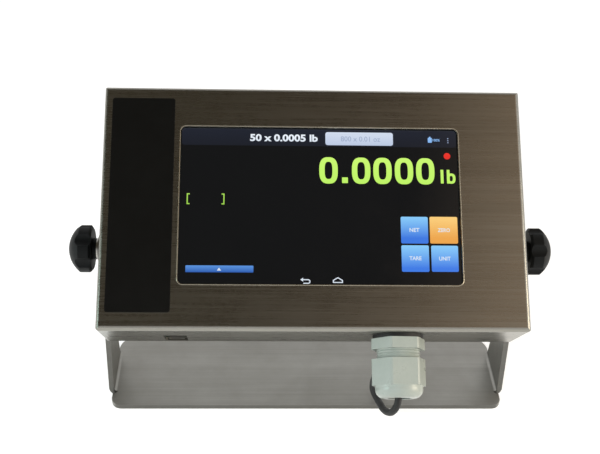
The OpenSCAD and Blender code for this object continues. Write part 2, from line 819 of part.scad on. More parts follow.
module usb_shell() {
    color(BRIGHT) in_head() at_face(usb_x, usb_deep, usb_recess) difference() {
        linear_extrude(usb_l) rounded(usb_w, usb_t, usb_shell_r);
        translate([0, 0, -cut]) linear_extrude(usb_l - usb_wall + cut)
            rounded(usb_w - 2 * usb_wall, usb_t - 2 * usb_wall, usb_shell_r - usb_wall);
    }
}

module usb_tongue() {
    color(DARK) in_head() at_face(usb_x, usb_deep, usb_recess + usb_l - usb_wall - lie - usb_tongue_l)
        linear_extrude(usb_tongue_l) rounded(usb_tongue_w, usb_tongue_t, usb_tongue_t / 3);
}

module usb_board() {
    color(GREEN) in_head() at_face(usb_x, usb_deep + usb_t / 2 + lie, sheet + cut + usb_board_h / 2)
        slab(usb_board_w, usb_board_h, usb_board_t, board_r / 2);
}

// Angle plate that holds the socket's board, with a foot on each side of the slot
module usb_bracket() {
    back = usb_deep + usb_t / 2 + usb_board_t + 2 * lie;
    color(BRIGHT) in_head() {
        at_face(usb_x, back, sheet + lie + usb_bracket_h / 2)
            slab(usb_bracket_w, usb_bracket_h, usb_bracket_t, board_r / 4);
        for (x = [-1, 1]) at_face(usb_x + x * (usb_bracket_w - usb_bracket_foot) / 2, back, sheet + lie)
            translate([-usb_bracket_foot / 2, -usb_bracket_foot, 0])
                cube([usb_bracket_foot, usb_bracket_foot + usb_bracket_t, usb_bracket_t]);
    }
}

// Turns to the gland's own frame: its base on z = 0 against the underside, +Z away from the head
module on_gland() {
    in_head() at_face(gland_x, gland_deep, 0) rotate([180, 0, 0]) rotate(-gland_turn) children();
}

module hexagon(l) {
    intersection() {
        cylinder(d = gland_af / cos(30), h = l, $fn = 6);
        cylinder(d = hex_corner_d, h = l);
    }
}

// Threaded rod as a stack of ridges
module ridged_rod(d, l) {
    rotate_extrude() polygon(concat(
        [[0, 0]],
        [for (i = [0 : floor(l / thread_pitch) - 1]) each [
            [d / 2 - thread_deep, i * thread_pitch], [d / 2, (i + 0.5) * thread_pitch]
        ]],
        [[d / 2 - thread_deep, l], [0, l]]
    ));
}

module gland_washer() {
    color(DARK) on_gland() difference() {
        translate([0, 0, lie]) cylinder(d = washer_d, h = washer_t - 2 * lie);
        translate([0, 0, -cut]) cylinder(d = gland_thread_d + run, h = washer_t + 2 * cut);
    }
}

module gland_body() {
    color(GREY) on_gland() difference() {
        union() {
            translate([0, 0, washer_t]) hexagon(hex_l);
            translate([0, 0, -gland_thread_l]) ridged_rod(gland_thread_d, gland_thread_l + washer_t + cut);
            translate([0, 0, gland_seat - cut]) ridged_rod(neck_d, neck_end - gland_seat + cut);
        }
        translate([0, 0, -gland_thread_l - cut])
            cylinder(d = gland_bore, h = gland_thread_l + neck_end + 2 * cut);
        translate([0, 0, claw_start]) cylinder(d = claw_seat_d, h = neck_end);
    }
}

module gland_locknut() {
    color(GREY) on_gland() translate([0, 0, -sheet - lie - locknut_t]) difference() {
        hexagon(locknut_t);
        translate([0, 0, -cut]) cylinder(d = gland_thread_d + run, h = locknut_t + 2 * cut);
    }
}

// Ring of fingers that the cap squeezes round the seal
module gland_claw() {
    outer = claw_seat_d - run;
    color("#8f9692") on_gland() translate([0, 0, claw_start + lie]) difference() {
        cylinder(d = outer, h = claw_l);
        translate([0, 0, -cut]) cylinder(d = outer - 2 * claw_wall, h = claw_l + 2 * cut);
        for (i = [0 : claw_slots / 2 - 1]) rotate(180 * i / (claw_slots / 2))
            translate([-outer, -claw_slot_w / 2, claw_l - claw_slot_l])
                cube([2 * outer, claw_slot_w, claw_slot_l + cut]);
    }
}

module gland_seal() {
    color(DARK) on_gland() translate([0, 0, claw_start + run]) difference() {
        cylinder(d = claw_seat_d - run - 2 * claw_wall - run, h = claw_l - run);
        translate([0, 0, -cut]) cylinder(d = cable_d + lie, h = claw_l + 2 * cut);
    }
}

module gland_cap() {
    color(GREY) on_gland() difference() {
        union() {
            translate([0, 0, cap_start]) hexagon(cap_hex_l);
            translate([0, 0, cap_hex_end - lie]) cylinder(d1 = gland_af, d2 = dome_d, h = cap_chamfer + lie);
            rotate_extrude() {
                translate([0, cap_hex_end]) square([dome_d / 2, gland_l - dome_r - cap_hex_end]);
                translate([0, cap_hex_end]) square([dome_d / 2 - dome_r, gland_l - cap_hex_end]);
                translate([dome_d / 2 - dome_r, gland_l - dome_r]) circle(dome_r);
            }
        }
        translate([0, 0, cap_start - cut]) cylinder(d = neck_d + 2 * run, h = cap_bore_end - cap_start + cut);
        translate([0, 0, cap_bore_end - lie])
            cylinder(d1 = neck_d + 2 * run, d2 = claw_seat_d, h = cap_cone_end - cap_bore_end + lie);
        translate([0, 0, cap_bore_end]) cylinder(d = mouth_d, h = gland_l);
    }
}

module inner_cable() {
    color(DARK) in_head() at_face(gland_x, gland_deep, -cable_start)
        cylinder(d = cable_d, h = cable_start + inner_cable_l);
}

// Pieces on the tilt axis are drawn along +Z from the head's middle to the right. The left ones are mirrored.
module on_axis() {
    translate([0, 0, pivot_h]) rotate([0, 90, 0]) children();
}

module left_hand() {
    mirror([1, 0, 0]) children();
}

module pivot_nut() {
    color(BRIGHT) on_axis() translate([0, 0, side - sheet - nut_t - lie]) difference() {
        cylinder(d = nut_af / cos(30), h = nut_t, $fn = 6);
        translate([0, 0, -cut]) cylinder(d = stud_d + run, h = nut_t + 2 * cut);
    }
}

module friction_washer() {
    color("#3a3a38") on_axis() translate([0, 0, side + lie]) difference() {
        cylinder(d = friction_d, h = friction_t);
        translate([0, 0, -cut]) cylinder(d = pivot_bore, h = friction_t + 2 * cut);
    }
}

module knob_washer() {
    color(DARK) on_axis() translate([0, 0, arm_out + lie]) difference() {
        cylinder(d = hub_d, h = knob_washer_t);
        translate([0, 0, -cut]) cylinder(d = pivot_bore, h = knob_washer_t + 2 * cut);
    }
}

module knob_stud() {
    color(BRIGHT) on_axis() translate([0, 0, stud_tip])
        cylinder(d = stud_d, h = knob_face + stud_in_knob - stud_tip);
}

// Knob's head: a domed disc with a sloping back and scooped lobes, on a hub
module knob_grip(turn) {
    color(DARK) on_axis() rotate(turn) difference() {
        union() {
            translate([0, 0, knob_in]) cylinder(d = hub_d, h = hub_t + cut);
            intersection() {
                union() {
                    translate([0, 0, knob_face])
                        cylinder(d1 = knob_d - 3 * rim_slope, d2 = knob_d, h = rim_slope);
                    translate([0, 0, knob_face + rim_slope]) cylinder(d = knob_d, h = knob_t);
                }
                translate([0, 0, knob_out - knob_dome_r]) sphere(knob_dome_r);
            }
        }
        for (i = [0 : knob_lobes - 1]) rotate(360 * (i + 0.5) / knob_lobes)
            translate([knob_d / 2 + lobe_cut_r - lobe_cut_deep, 0, knob_face - cut])
                cylinder(r = lobe_cut_r, h = knob_t + 2 * cut);
        translate([0, 0, knob_in - cut]) cylinder(d = stud_d + 2 * lie, h = hub_t + stud_in_knob + cut + lie);
    }
}

module pivot_nut_left() { left_hand() pivot_nut(); }
module pivot_nut_right() { pivot_nut(); }
module friction_washer_left() { left_hand() friction_washer(); }
module friction_washer_right() { friction_washer(); }
module knob_washer_left() { left_hand() knob_washer(); }
module knob_washer_right() { knob_washer(); }
module knob_stud_left() { left_hand() knob_stud(); }
module knob_stud_right() { knob_stud(); }
module knob_grip_left() { left_hand() knob_grip(left_turn); }
module knob_grip_right() { knob_grip(right_turn); }

// Base plate's tongue in front of or behind the arms, drawn from the arms' edge, with a relief at each bend
module tongue(reach, r) {
    translate([0, arm_foot_w / 2, 0]) linear_extrude(yoke_t) {
        translate([-bend_line, -cut]) square([2 * bend_line, notch_r + 2 * cut]);
        translate([0, reach]) mirror([0, 1]) front_rounded(tongue_w, reach - notch_r, r);
    }
}

// One sheet, bent up at both ends into a tapering arm
module yoke_bracket() {
    color(STEEL) difference() {
        union() {
            intersection() {
                translate([0, arm_foot_w / 2, 0]) rotate([90, 0, 0]) linear_extrude(arm_foot_w) difference() {
                    front_rounded(2 * arm_out, pivot_h + arm_top_w, bend_in_r + yoke_t);
                    translate([0, yoke_t]) front_rounded(2 * arm_in, pivot_h + arm_top_w, bend_in_r);
                }
                translate([-2 * side, 0, 0]) rotate([90, 0, 90]) linear_extrude(4 * side) {
                    polygon([
                        [-arm_foot_w / 2, -cut], [arm_foot_w / 2, -cut], [arm_foot_w / 2, 0],
                        [arm_top_r, arm_taper_h], [-arm_top_r, arm_taper_h], [-arm_foot_w / 2, 0]
                    ]);
                    translate([-arm_top_r, arm_taper_h - lie])
                        square([arm_top_w, pivot_h - arm_taper_h + lie]);
                    translate([0, pivot_h]) circle(arm_top_r);
                }
            }
            tongue(plate_back, back_corner_r);
            mirror([0, 1, 0]) tongue(plate_front, front_corner_r);
        }
        on_axis() translate([0, 0, -arm_out - cut]) cylinder(d = pivot_bore, h = 2 * (arm_out + cut));
    }
}

module cable_loop() {
    color(DARK) tube(loop_path, cable_d, cable_sides, [1, 0, 0], gland_way, touch_way);
}

module cable_run() {
    color(DARK) tube(run_path, cable_d, cable_sides, [1, 0, 0], touch_way, coil_way);
}

module cable_coil() {
    color(DARK) tube(
        concat([coil_start], part_of(coil_path, 0, coil_last - 1), lead_path),
        cable_d, coil_sides, [0, 0, 1], coil_way, plug_way
    );
}

// The plug is drawn along +Z from its cable end. It points to the left.
module on_plug() {
    translate([plug_x, plug_y, plug_z]) rotate([0, -90, 0]) children();
}

module plug_boot() {
    step = boot_l / (boot_grooves + 1);
    color(DARK) on_plug() difference() {
        cylinder(d1 = boot_tip_d, d2 = boot_end_d, h = boot_l);
        translate([0, 0, -cut]) cylinder(d = cable_d + lie, h = boot_l + 2 * cut);
        for (i = [1 : boot_grooves]) translate([0, 0, i * step - boot_groove_w / 2]) difference() {
            cylinder(d = grip_d, h = boot_groove_w);
            translate([0, 0, -cut]) cylinder(
                d = boot_tip_d + (boot_end_d - boot_tip_d) * i / (boot_grooves + 1) - 2 * boot_groove_deep,
                h = boot_groove_w + 2 * cut
            );
        }
    }
}

module plug_grip() {
    color("#4a4d50") on_plug() translate([0, 0, boot_l + lie]) difference() {
        union() {
            cylinder(d1 = grip_d - 2 * grip_edge, d2 = grip_d, h = grip_edge);
            translate([0, 0, grip_edge]) cylinder(d = grip_d, h = grip_l - 2 * grip_edge);
            translate([0, 0, grip_l - grip_edge])
                cylinder(d1 = grip_d, d2 = grip_d - 2 * grip_edge, h = grip_edge);
        }
        for (i = [0 : grip_flutes - 1]) rotate(360 * (i + 0.5) / grip_flutes)
            translate([grip_d / 2 + grip_flute_r / 2, 0, 2 * grip_edge])
                cylinder(r = grip_flute_r, h = grip_l - 4 * grip_edge);
        translate([0, 0, grip_l - shell_seat]) cylinder(d = shell_seat_d + 2 * lie, h = shell_seat + cut);
    }
}

// Metal sleeve: a narrower seat in the grip, a short neck, and the round wall that goes into a socket
module plug_shell() {
    color(BRIGHT) on_plug() translate([0, 0, boot_l + grip_l - shell_seat + 2 * lie]) difference() {
        union() {
            cylinder(d = shell_seat_d, h = shell_seat + shell_neck + cut);
            translate([0, 0, shell_seat + shell_neck]) cylinder(d = shell_d, h = shell_l);
        }
        translate([0, 0, -cut]) cylinder(d = shell_d - 2 * shell_wall, h = shell_whole + 2 * cut);
    }
}

module plug_insert() {
    color(DARK) on_plug() translate([0, 0, boot_l + grip_l - shell_seat + 2 * lie]) difference() {
        cylinder(d = shell_d - 2 * shell_wall - 2 * lie, h = insert_l);
        for (i = [0 : contact_count - 1]) rotate(360 * i / contact_count)
            translate([contact_circle_r, 0, insert_l - contact_l - lie])
                cylinder(d = contact_d + 2 * lie, h = contact_l + lie + cut);
    }
}

// Sleeve contacts, flush with the insert's face
module plug_contacts() {
    color("#d9b45a") on_plug() for (i = [0 : contact_count - 1]) rotate(360 * i / contact_count)
        translate([contact_circle_r, 0, boot_l + grip_l - shell_seat + 2 * lie + insert_l - contact_l])
            difference() {
                cylinder(d = contact_d, h = contact_l);
                translate([0, 0, contact_d]) cylinder(d = contact_bore, h = contact_l);
            }
}

front_housing();
rear_cover();
cover_gasket();
cover_screws();
rivet_nuts();
label_plate();
window_gasket();
touch_glass();
panel_tape();
lcd_panel();
display_clamp();
clamp_studs();
clamp_nuts();
computer_board();
heat_sink();
load_cell_board();
board_spacers();
board_screws();
terminal_block();
ribbon_socket();
display_ribbon();
load_cell_wires();
battery_holder();
battery_cells();
battery_strap();
usb_shell();
usb_tongue();
usb_board();
usb_bracket();
gland_washer();
gland_body();
gland_locknut();
gland_claw();
gland_seal();
gland_cap();
inner_cable();
pivot_nut_left();
pivot_nut_right();
friction_washer_left();
friction_washer_right();
knob_grip_left();
knob_grip_right();
knob_stud_left();
knob_stud_right();
knob_washer_left();
knob_washer_right();
yoke_bracket();
cable_loop();
cable_run();
cable_coil();
plug_boot();
plug_grip();
plug_shell();
plug_insert();
plug_contacts();
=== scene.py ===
"""Visual model of a weighing indicator: a leaning touch-screen head in a yoke bracket with two hand knobs.

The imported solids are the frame. This script gives each of them its finish, adds the lit picture on the screen,
the edge of the window, the grip ribs of the cable gland and the free signal cable, and sets camera, lamps and
floor. Lengths are in metres unless a name or a class says otherwise.
"""

import json
import logging
import math
from dataclasses import dataclass, field
from enum import Enum
from typing import Callable, Mapping, Sequence

import bmesh
import bpy
from mathutils import Matrix, Vector
from mathutils.geometry import tessellate_polygon

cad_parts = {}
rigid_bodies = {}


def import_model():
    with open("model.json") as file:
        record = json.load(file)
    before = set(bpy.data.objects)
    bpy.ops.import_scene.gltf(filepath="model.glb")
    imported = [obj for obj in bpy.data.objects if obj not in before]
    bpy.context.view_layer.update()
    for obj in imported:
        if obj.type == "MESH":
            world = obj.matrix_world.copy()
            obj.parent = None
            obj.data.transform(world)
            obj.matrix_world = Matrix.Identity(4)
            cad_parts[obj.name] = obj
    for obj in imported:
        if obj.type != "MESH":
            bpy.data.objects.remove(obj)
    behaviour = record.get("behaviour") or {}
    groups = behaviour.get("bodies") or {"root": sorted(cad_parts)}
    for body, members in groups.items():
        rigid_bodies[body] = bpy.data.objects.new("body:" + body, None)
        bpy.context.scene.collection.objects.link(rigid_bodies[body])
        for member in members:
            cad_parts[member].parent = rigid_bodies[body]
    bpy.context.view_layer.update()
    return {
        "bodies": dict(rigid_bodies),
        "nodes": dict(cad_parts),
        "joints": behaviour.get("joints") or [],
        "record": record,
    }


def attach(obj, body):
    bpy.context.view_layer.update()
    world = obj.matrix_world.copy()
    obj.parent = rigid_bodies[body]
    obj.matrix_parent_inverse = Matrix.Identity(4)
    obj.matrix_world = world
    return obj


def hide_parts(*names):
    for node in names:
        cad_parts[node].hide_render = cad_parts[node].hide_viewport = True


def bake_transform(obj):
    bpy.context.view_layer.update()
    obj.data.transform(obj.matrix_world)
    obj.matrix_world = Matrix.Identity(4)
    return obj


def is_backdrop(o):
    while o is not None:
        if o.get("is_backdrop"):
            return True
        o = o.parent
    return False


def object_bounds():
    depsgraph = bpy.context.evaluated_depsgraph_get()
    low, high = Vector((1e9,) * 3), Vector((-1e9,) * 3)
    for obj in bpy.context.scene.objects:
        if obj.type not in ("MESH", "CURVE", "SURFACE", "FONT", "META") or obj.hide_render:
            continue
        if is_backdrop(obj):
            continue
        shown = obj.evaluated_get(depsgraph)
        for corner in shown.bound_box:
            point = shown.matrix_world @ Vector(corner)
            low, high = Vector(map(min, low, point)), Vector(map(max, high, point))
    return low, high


MM = 0.001
Colour = tuple[float, float, float, float]
Flat = tuple[float, float]
Loop = list[Flat]
Node = bpy.types.Node
Socket = bpy.types.NodeSocket
Tree = bpy.types.NodeTree
Given = Mapping[str, Socket]

log = logging.getLogger("indicator")


def tone(red: float, green: float, blue: float) -> Colour:
    """Turns a display colour into the linear colour that a shader takes.

    Args:
        red: Red, from 0 to 255.
        green: Green, from 0 to 255.
        blue: Blue, from 0 to 255.

    Returns:
        The linear colour with full opacity.
    """

    def linear(value: float) -> float:
        """Undoes the display curve of one channel."""
        share = value / 255
        return share / 12.92 if share <= 0.04045 else ((share + 0.055) / 1.055) ** 2.4

    return (linear(red), linear(green), linear(blue), 1.0)


# ---- Shader wiring


WORN_STEEL = tone(182, 178, 168)
RUBBED_METAL = tone(226, 224, 216)
CUT_FILM = tone(90, 88, 82)
WIPED_GLASS = tone(236, 246, 240)
DARK_GLASS = tone(5, 5, 6)
PURE_WHITE = (1.0, 1.0, 1.0, 1.0)


class Wiring:
    """Places and links the nodes of one shader tree."""

    def __init__(self, tree: Tree) -> None:
        """Keeps the tree that the nodes go into."""
        self.tree = tree

    def feed(self, node: Node, values: Mapping) -> None:
        """Sets inputs of a node, by name or number, to plain values or to output sockets."""
        for key, value in values.items():
            if isinstance(value, Socket):
                self.tree.links.new(value, node.inputs[key])
            else:
                node.inputs[key].default_value = value

    def node(self, kind: str, values: Mapping | None = None, **settings: object) -> Node:
        """Adds a node.

        Args:
            kind: Blender's name of the node type.
            values: Plain values or output sockets for the node's inputs, by input name or number.
            settings: Properties of the node itself.

        Returns:
            The new node.
        """
        made = self.tree.nodes.new(kind)
        for key, value in settings.items():
            setattr(made, key, value)
        self.feed(made, values or {})
        return made

    def math(self, operation: str, a: object, b: object = 0.0, clamp: bool = False) -> Socket:
        """Adds a Math node on two numbers or sockets and returns its value."""
        return self.node("ShaderNodeMath", {0: a, 1: b}, operation=operation, use_clamp=clamp).outputs[0]

    def remap(self, value: object, low: float, high: float, to_low: object, to_high: object) -> Socket:
        """Maps a value from one range to another, held to the new range, and returns it."""
        return self.node("ShaderNodeMapRange", {0: value, 1: low, 2: high, 3: to_low, 4: to_high}).outputs[0]

    def mix(self, share: object, a: object, b: object) -> Socket:
        """Mixes two colours by a share and returns the colour."""
        return self.node("ShaderNodeMix", {0: share, 6: a, 7: b}, data_type="RGBA").outputs[2]

    def scale(self, colour: object, share: object) -> Socket:
        """Makes a colour or vector larger or smaller by a share and returns it."""
        return self.node("ShaderNodeVectorMath", {0: colour, 3: share}, operation="SCALE").outputs[0]

    def noise(self, vector: object, scale: object, detail: float = 2.0, rough: float = 0.5) -> Socket:
        """Adds a noise texture on a vector and returns its value."""
        return self.node("ShaderNodeTexNoise", {0: vector, 2: scale, 3: detail, 4: rough}).outputs[0]

    def place(self) -> Socket:
        """Returns the object's own coordinates, which ride along with it."""
        return self.node("ShaderNodeTexCoord").outputs["Object"]

    def axis(self, index: int) -> Socket:
        """Returns one of the object's own coordinates, from 0 for X to 2 for Z."""
        return self.node("ShaderNodeSeparateXYZ", {0: self.place()}).outputs[index]

    def seen(self) -> Socket:
        """Returns 1 for rays from the camera, off a mirror or through glass, and 0 for the others."""
        path = self.node("ShaderNodeLightPath").outputs
        direct = self.math("MAXIMUM", path["Is Camera Ray"], path["Is Glossy Ray"])
        return self.math("MAXIMUM", direct, path["Is Transmission Ray"])

    def ramp(self, share: object, stops: Sequence[tuple[float, Colour]], kind: str) -> Socket:
        """Turns a share into a colour.

        Args:
            share: The share, from 0 to 1.
            stops: Each stop's place and colour, in order.
            kind: Blender's name of the way from one stop to the next.

        Returns:
            The colour.
        """
        made = self.node("ShaderNodeValToRGB", {0: share})
        made.color_ramp.interpolation = kind
        elements = made.color_ramp.elements
        for index, (place, colour) in enumerate(stops):
            stop = elements[index] if index < 2 else elements.new(place)
            stop.position, stop.color = place, colour
        return made.outputs[0]

    def bump(self, height: object, strength: float, distance: float) -> Socket:
        """Adds a Bump node and returns its normal."""
        values = {"Strength": strength, "Distance": distance, "Height": height}
        return self.node("ShaderNodeBump", values).outputs[0]

    def effect(self, group: Tree, **values: float) -> Sequence[Socket]:
        """Places a shared effect with its own values and returns its outputs."""
        return self.node("ShaderNodeGroup", values, node_tree=group).outputs


def emptied(owner: bpy.types.Material | bpy.types.World) -> Tree:
    """Switches a material or world to nodes and returns its tree without any."""
    owner.use_nodes = True
    owner.node_tree.nodes.clear()
    return owner.node_tree


class Effects:
    """The shader effects that several finishes share, each one a node group made on first use."""

    def __init__(self) -> None:
        """Starts with no group made."""
        self.made: dict[str, Tree] = {}

    def group(
        self, name: str, outputs: Sequence[str], fill: Callable[..., Sequence[Socket]], **inputs: float
    ) -> Tree:
        """Makes a group with number inputs and outputs, or returns the one made before.

        Args:
            name: The group's name.
            outputs: The names of the outputs, all plain values.
            fill: Places the nodes, given the wiring and the inputs, and returns what the outputs get.
            inputs: Each input's usual value.

        Returns:
            The node group.
        """
        if name not in self.made:
            made = bpy.data.node_groups.new(name, "ShaderNodeTree")
            for key, value in inputs.items():
                spot = made.interface.new_socket(name=key, in_out="INPUT", socket_type="NodeSocketFloat")
                spot.default_value = value
            for key in outputs:
                made.interface.new_socket(name=key, in_out="OUTPUT", socket_type="NodeSocketFloat")
            wires = Wiring(made)
            results = fill(wires, wires.node("NodeGroupInput").outputs)
            wires.node("NodeGroupOutput", dict(zip(outputs, results)))
            self.made[name] = made
        return self.made[name]

    def brushing(self) -> Tree:
        """Straight polishing lines along X, fine ones and broad bands, with the sheet's lean taken out."""

        def fill(wires: Wiring, given: Given) -> list[Socket]:
            """Stretches noise along X, and along the depth on the side walls."""
            turned = {"Vector": wires.place(), "Angle": given["Lean"]}
            flat = wires.node("ShaderNodeVectorRotate", turned, rotation_type="X_AXIS").outputs[0]
            spread = {0: given["Along"], 1: given["Across"], 2: given["Across"]}
            face = wires.node("ShaderNodeCombineXYZ", spread).outputs[0]
            lines = wires.node("ShaderNodeVectorMath", {0: flat, 1: face}, operation="MULTIPLY").outputs[0]
            widened = {0: lines, 1: (0.3, 0.09, 0.09)}
            broad = wires.node("ShaderNodeVectorMath", widened, operation="MULTIPLY").outputs[0]
            return [wires.noise(lines, 1.0, 5.0, 0.75), wires.noise(broad, 1.0, 3.0, 0.6)]

        return self.group("brushing", ["Lines", "Bands"], fill, Lean=0.0, Along=14.0, Across=1500.0)

    def mottle(self) -> Tree:
        """Soft uneven patches, as handling and wiping leave them."""

        def fill(wires: Wiring, given: Given) -> list[Socket]:
            """Blends a broad noise with a finer one and sharpens the result."""
            where = wires.place()
            broad = wires.noise(where, given["Scale"], 4.0, 0.6)
            fine = wires.noise(where, wires.math("MULTIPLY", given["Scale"], 6.3), 3.0, 0.6)
            both = wires.math("ADD", wires.math("MULTIPLY", broad, 0.7), wires.math("MULTIPLY", fine, 0.3))
            spread = wires.math("MULTIPLY", wires.math("SUBTRACT", both, 0.5), given["Contrast"])
            return [wires.math("ADD", spread, 0.5, clamp=True)]

        return self.group("mottle", ["Mask"], fill, Scale=30.0, Contrast=3.0)

    def grain(self) -> Tree:
        """The fine even texture of a moulded or printed surface, as a height."""

        def fill(wires: Wiring, given: Given) -> list[Socket]:
            """Mixes small cells with small noise."""
            where = wires.place()
            cells = wires.node("ShaderNodeTexVoronoi", {"Vector": where, "Scale": given["Scale"]}).outputs[0]
            small = wires.noise(where, wires.math("MULTIPLY", given["Scale"], 1.7), 2.0)
            return [wires.math("ADD", wires.math("MULTIPLY", cells, 0.6), wires.math("MULTIPLY", small, 0.4))]

        return self.group("grain", ["Height"], fill, Scale=2500.0)

    def worn_edge(self) -> Tree:
        """A mask along the sharp edges, broken up by noise, where handling rubs the surface."""

        def fill(wires: Wiring, given: Given) -> list[Socket]:
            """Compares the true normal with the one of a rounded edge."""
            flat = wires.node("ShaderNodeNewGeometry").outputs["Normal"]
            soft = wires.node("ShaderNodeBevel", {"Radius": given["Radius"]}, samples=4).outputs[0]
            product = wires.node("ShaderNodeVectorMath", {0: flat, 1: soft}, operation="DOT_PRODUCT")
            apart = wires.math("SUBTRACT", 1.0, product.outputs["Value"])
            edge = wires.math("MULTIPLY", apart, 6.0, clamp=True)
            broken = wires.remap(wires.noise(wires.place(), 420.0, 3.0), 0.35, 0.65, 0.35, 1.0)
            return [wires.math("MULTIPLY", edge, broken)]

        return self.group("worn_edge", ["Mask"], fill, Radius=0.0006)

    def pixels(self) -> Tree:
        """The fine grid of a lit screen, as a mask that dips between its dots."""

        def fill(wires: Wiring, given: Given) -> list[Socket]:
            """Folds the picture's two axes into small cells."""
            gaps = []
            for axis in (0, 1):
                cell = wires.math("FRACT", wires.math("DIVIDE", wires.axis(axis), given["Pitch"]))
                gaps.append(wires.math("LESS_THAN", cell, 0.14))
            dip = wires.math("MULTIPLY", wires.math("MAXIMUM", *gaps), given["Dip"])
            return [wires.math("SUBTRACT", 1.0, dip)]

        return self.group("pixels", ["Mask"], fill, Pitch=0.00024, Dip=0.12)


# ---- Finishes


class Paint(Wiring):
    """The wiring of one finish: its surface, and the shared effects that go on it."""

    def __init__(self, tree: Tree, effects: Effects) -> None:
        """Adds a surface to an empty tree."""
        super().__init__(tree)
        self.effects = effects
        self.surface = self.node("ShaderNodeBsdfPrincipled")
        self.node("ShaderNodeOutputMaterial", {0: self.surface.outputs[0]})

    def lay(self, **values: object) -> None:
        """Sets inputs of the surface, whose names take spaces for underscores."""
        self.feed(self.surface, {key.replace("_", " "): value for key, value in values.items()})

    def mottle(self, scale: float, contrast: float) -> Socket:
        """Returns a mask of soft patches."""
        return self.effect(self.effects.mottle(), Scale=scale, Contrast=contrast)[0]

    def dulled(self, mask: Socket, rough: float, more: float) -> Socket:
        """Returns a roughness that rises by so much where the mask is full."""
        return self.remap(mask, 0.0, 1.0, rough, rough + more)

    def grain(self, scale: float, strength: float, distance: float) -> Socket:
        """Returns the normal of a fine even texture."""
        return self.bump(self.effect(self.effects.grain(), Scale=scale)[0], strength, distance)

    def worn(self, radius: float, share: float) -> Socket:
        """Returns a share of the mask along the sharp edges."""
        return self.math("MULTIPLY", self.effect(self.effects.worn_edge(), Radius=radius)[0], share)


@dataclass(frozen=True)
class Finish:
    """What every finish has: a name for its material and the way to make it."""

    name: str

    def make(self, effects: Effects) -> bpy.types.Material:
        """Makes the material.

        Args:
            effects: The shared effect groups.

        Returns:
            The material, wired and ready for a material slot.
        """
        material = bpy.data.materials.new(self.name)
        self.wire(Paint(emptied(material), effects))
        return material

    def wire(self, paint: Paint) -> None:
        """Sets up the surface; each finish does this in its own way."""
        raise NotImplementedError


@dataclass(frozen=True)
class BrushedSheet(Finish):
    """Stainless sheet with polishing lines, faint bands, stains, worn edges and painted shade on the faces square
    to Y, its cut edges.
    """

    light: Colour
    dark: Colour
    stain: Colour
    rough: float = 0.3
    lean: float = 0.0
    stains: float = 0.25
    line_depth: float = 0.3
    # Share of brightness left on faces square to Y, a painted shade; 1 paints none.
    cut: float = 1.0
    wear: float = 0.2

    def wire(self, paint: Paint) -> None:
        """Lays lines over bands over stains, lets the edges shine and paints shade on the faces square to Y."""
        lines, bands = paint.effect(paint.effects.brushing(), Lean=self.lean)
        patch = paint.mottle(22.0, 3.4)
        colour = paint.mix(paint.remap(bands, 0.36, 0.64, 0.0, 1.0), self.dark, self.light)
        colour = paint.mix(paint.math("MULTIPLY", patch, self.stains), colour, self.stain)
        colour = paint.scale(colour, paint.remap(lines, 0.3, 0.7, 0.9, 1.07))
        colour = paint.mix(paint.worn(0.0007, self.wear), colour, WORN_STEEL)
        # Painted shade: faces square to Y, the sheet's cut edges, are darkened to the cut share, standing in for
        # the darker reflection they show.
        if self.cut < 1.0:
            facing = paint.node("ShaderNodeTexCoord").outputs["Normal"]
            depth = paint.math("ABSOLUTE", paint.node("ShaderNodeSeparateXYZ", {0: facing}).outputs[1])
            colour = paint.scale(colour, paint.remap(depth, 0.6, 0.9, 1.0, self.cut))
        rough = paint.remap(lines, 0.25, 0.75, self.rough - 0.06, self.rough + 0.08)
        rough = paint.math("ADD", rough, paint.math("MULTIPLY", patch, 0.06))
        paint.lay(Metallic=1.0, Base_Color=colour, Roughness=rough,
                  Normal=paint.bump(lines, self.line_depth, 2e-5))


@dataclass(frozen=True)
class Metal(Finish):
    """Turned, drawn or plated metal, with fine handling marks and brighter worn edges."""

    colour: Colour
    shade: Colour
    rough: float = 0.28
    scale: float = 900.0
    wear: float = 0.6

    def wire(self, paint: Paint) -> None:
        """Varies tint and gloss in patches and rubs the edges bright."""
        patch = paint.mottle(self.scale / 6, 2.6)
        colour = paint.mix(patch, self.colour, self.shade)
        colour = paint.mix(paint.worn(0.0003, self.wear), colour, RUBBED_METAL)
        paint.lay(Metallic=1.0, Base_Color=colour, Roughness=paint.dulled(patch, self.rough, 0.14),
                  Normal=paint.grain(self.scale * 3, 0.15, 1e-5))


@dataclass(frozen=True)
class Moulding(Finish):
    """Moulded plastic or rubber with a fine texture, uneven gloss and paler rubbed edges."""

    colour: Colour
    shade: Colour
    rubbed: Colour
    rough: float = 0.4
    scale: float = 2400.0
    depth: float = 0.25
    coat: float = 0.0
    rub: float = 0.4
    gloss: float = 0.5

    def wire(self, paint: Paint) -> None:
        """Textures the skin and rubs its edges."""
        patch = paint.mottle(90.0, 2.4)
        colour = paint.mix(patch, self.colour, self.shade)
        colour = paint.mix(paint.worn(0.0005, self.rub), colour, self.rubbed)
        paint.lay(Specular_IOR_Level=self.gloss, Base_Color=colour, Coat_Weight=self.coat, Coat_Roughness=0.12,
                  Roughness=paint.dulled(patch, self.rough - 0.05, 0.12),
                  Normal=paint.grain(self.scale, self.depth, 4e-5))


@dataclass(frozen=True)
class Jacket(Finish):
    """A cable's extruded skin: matt, with a fine texture and faint scuffs."""

    colour: Colour
    scuff: Colour
    rough: float = 0.46

    def wire(self, paint: Paint) -> None:
        """Marks the skin with scuffs and a fine texture."""
        patch = paint.mottle(260.0, 4.0)
        colour = paint.mix(paint.math("MULTIPLY", patch, 0.5), self.colour, self.scuff)
        paint.lay(Base_Color=colour, Roughness=paint.dulled(patch, self.rough, 0.16),
                  Normal=paint.grain(5200.0, 0.2, 2e-5))


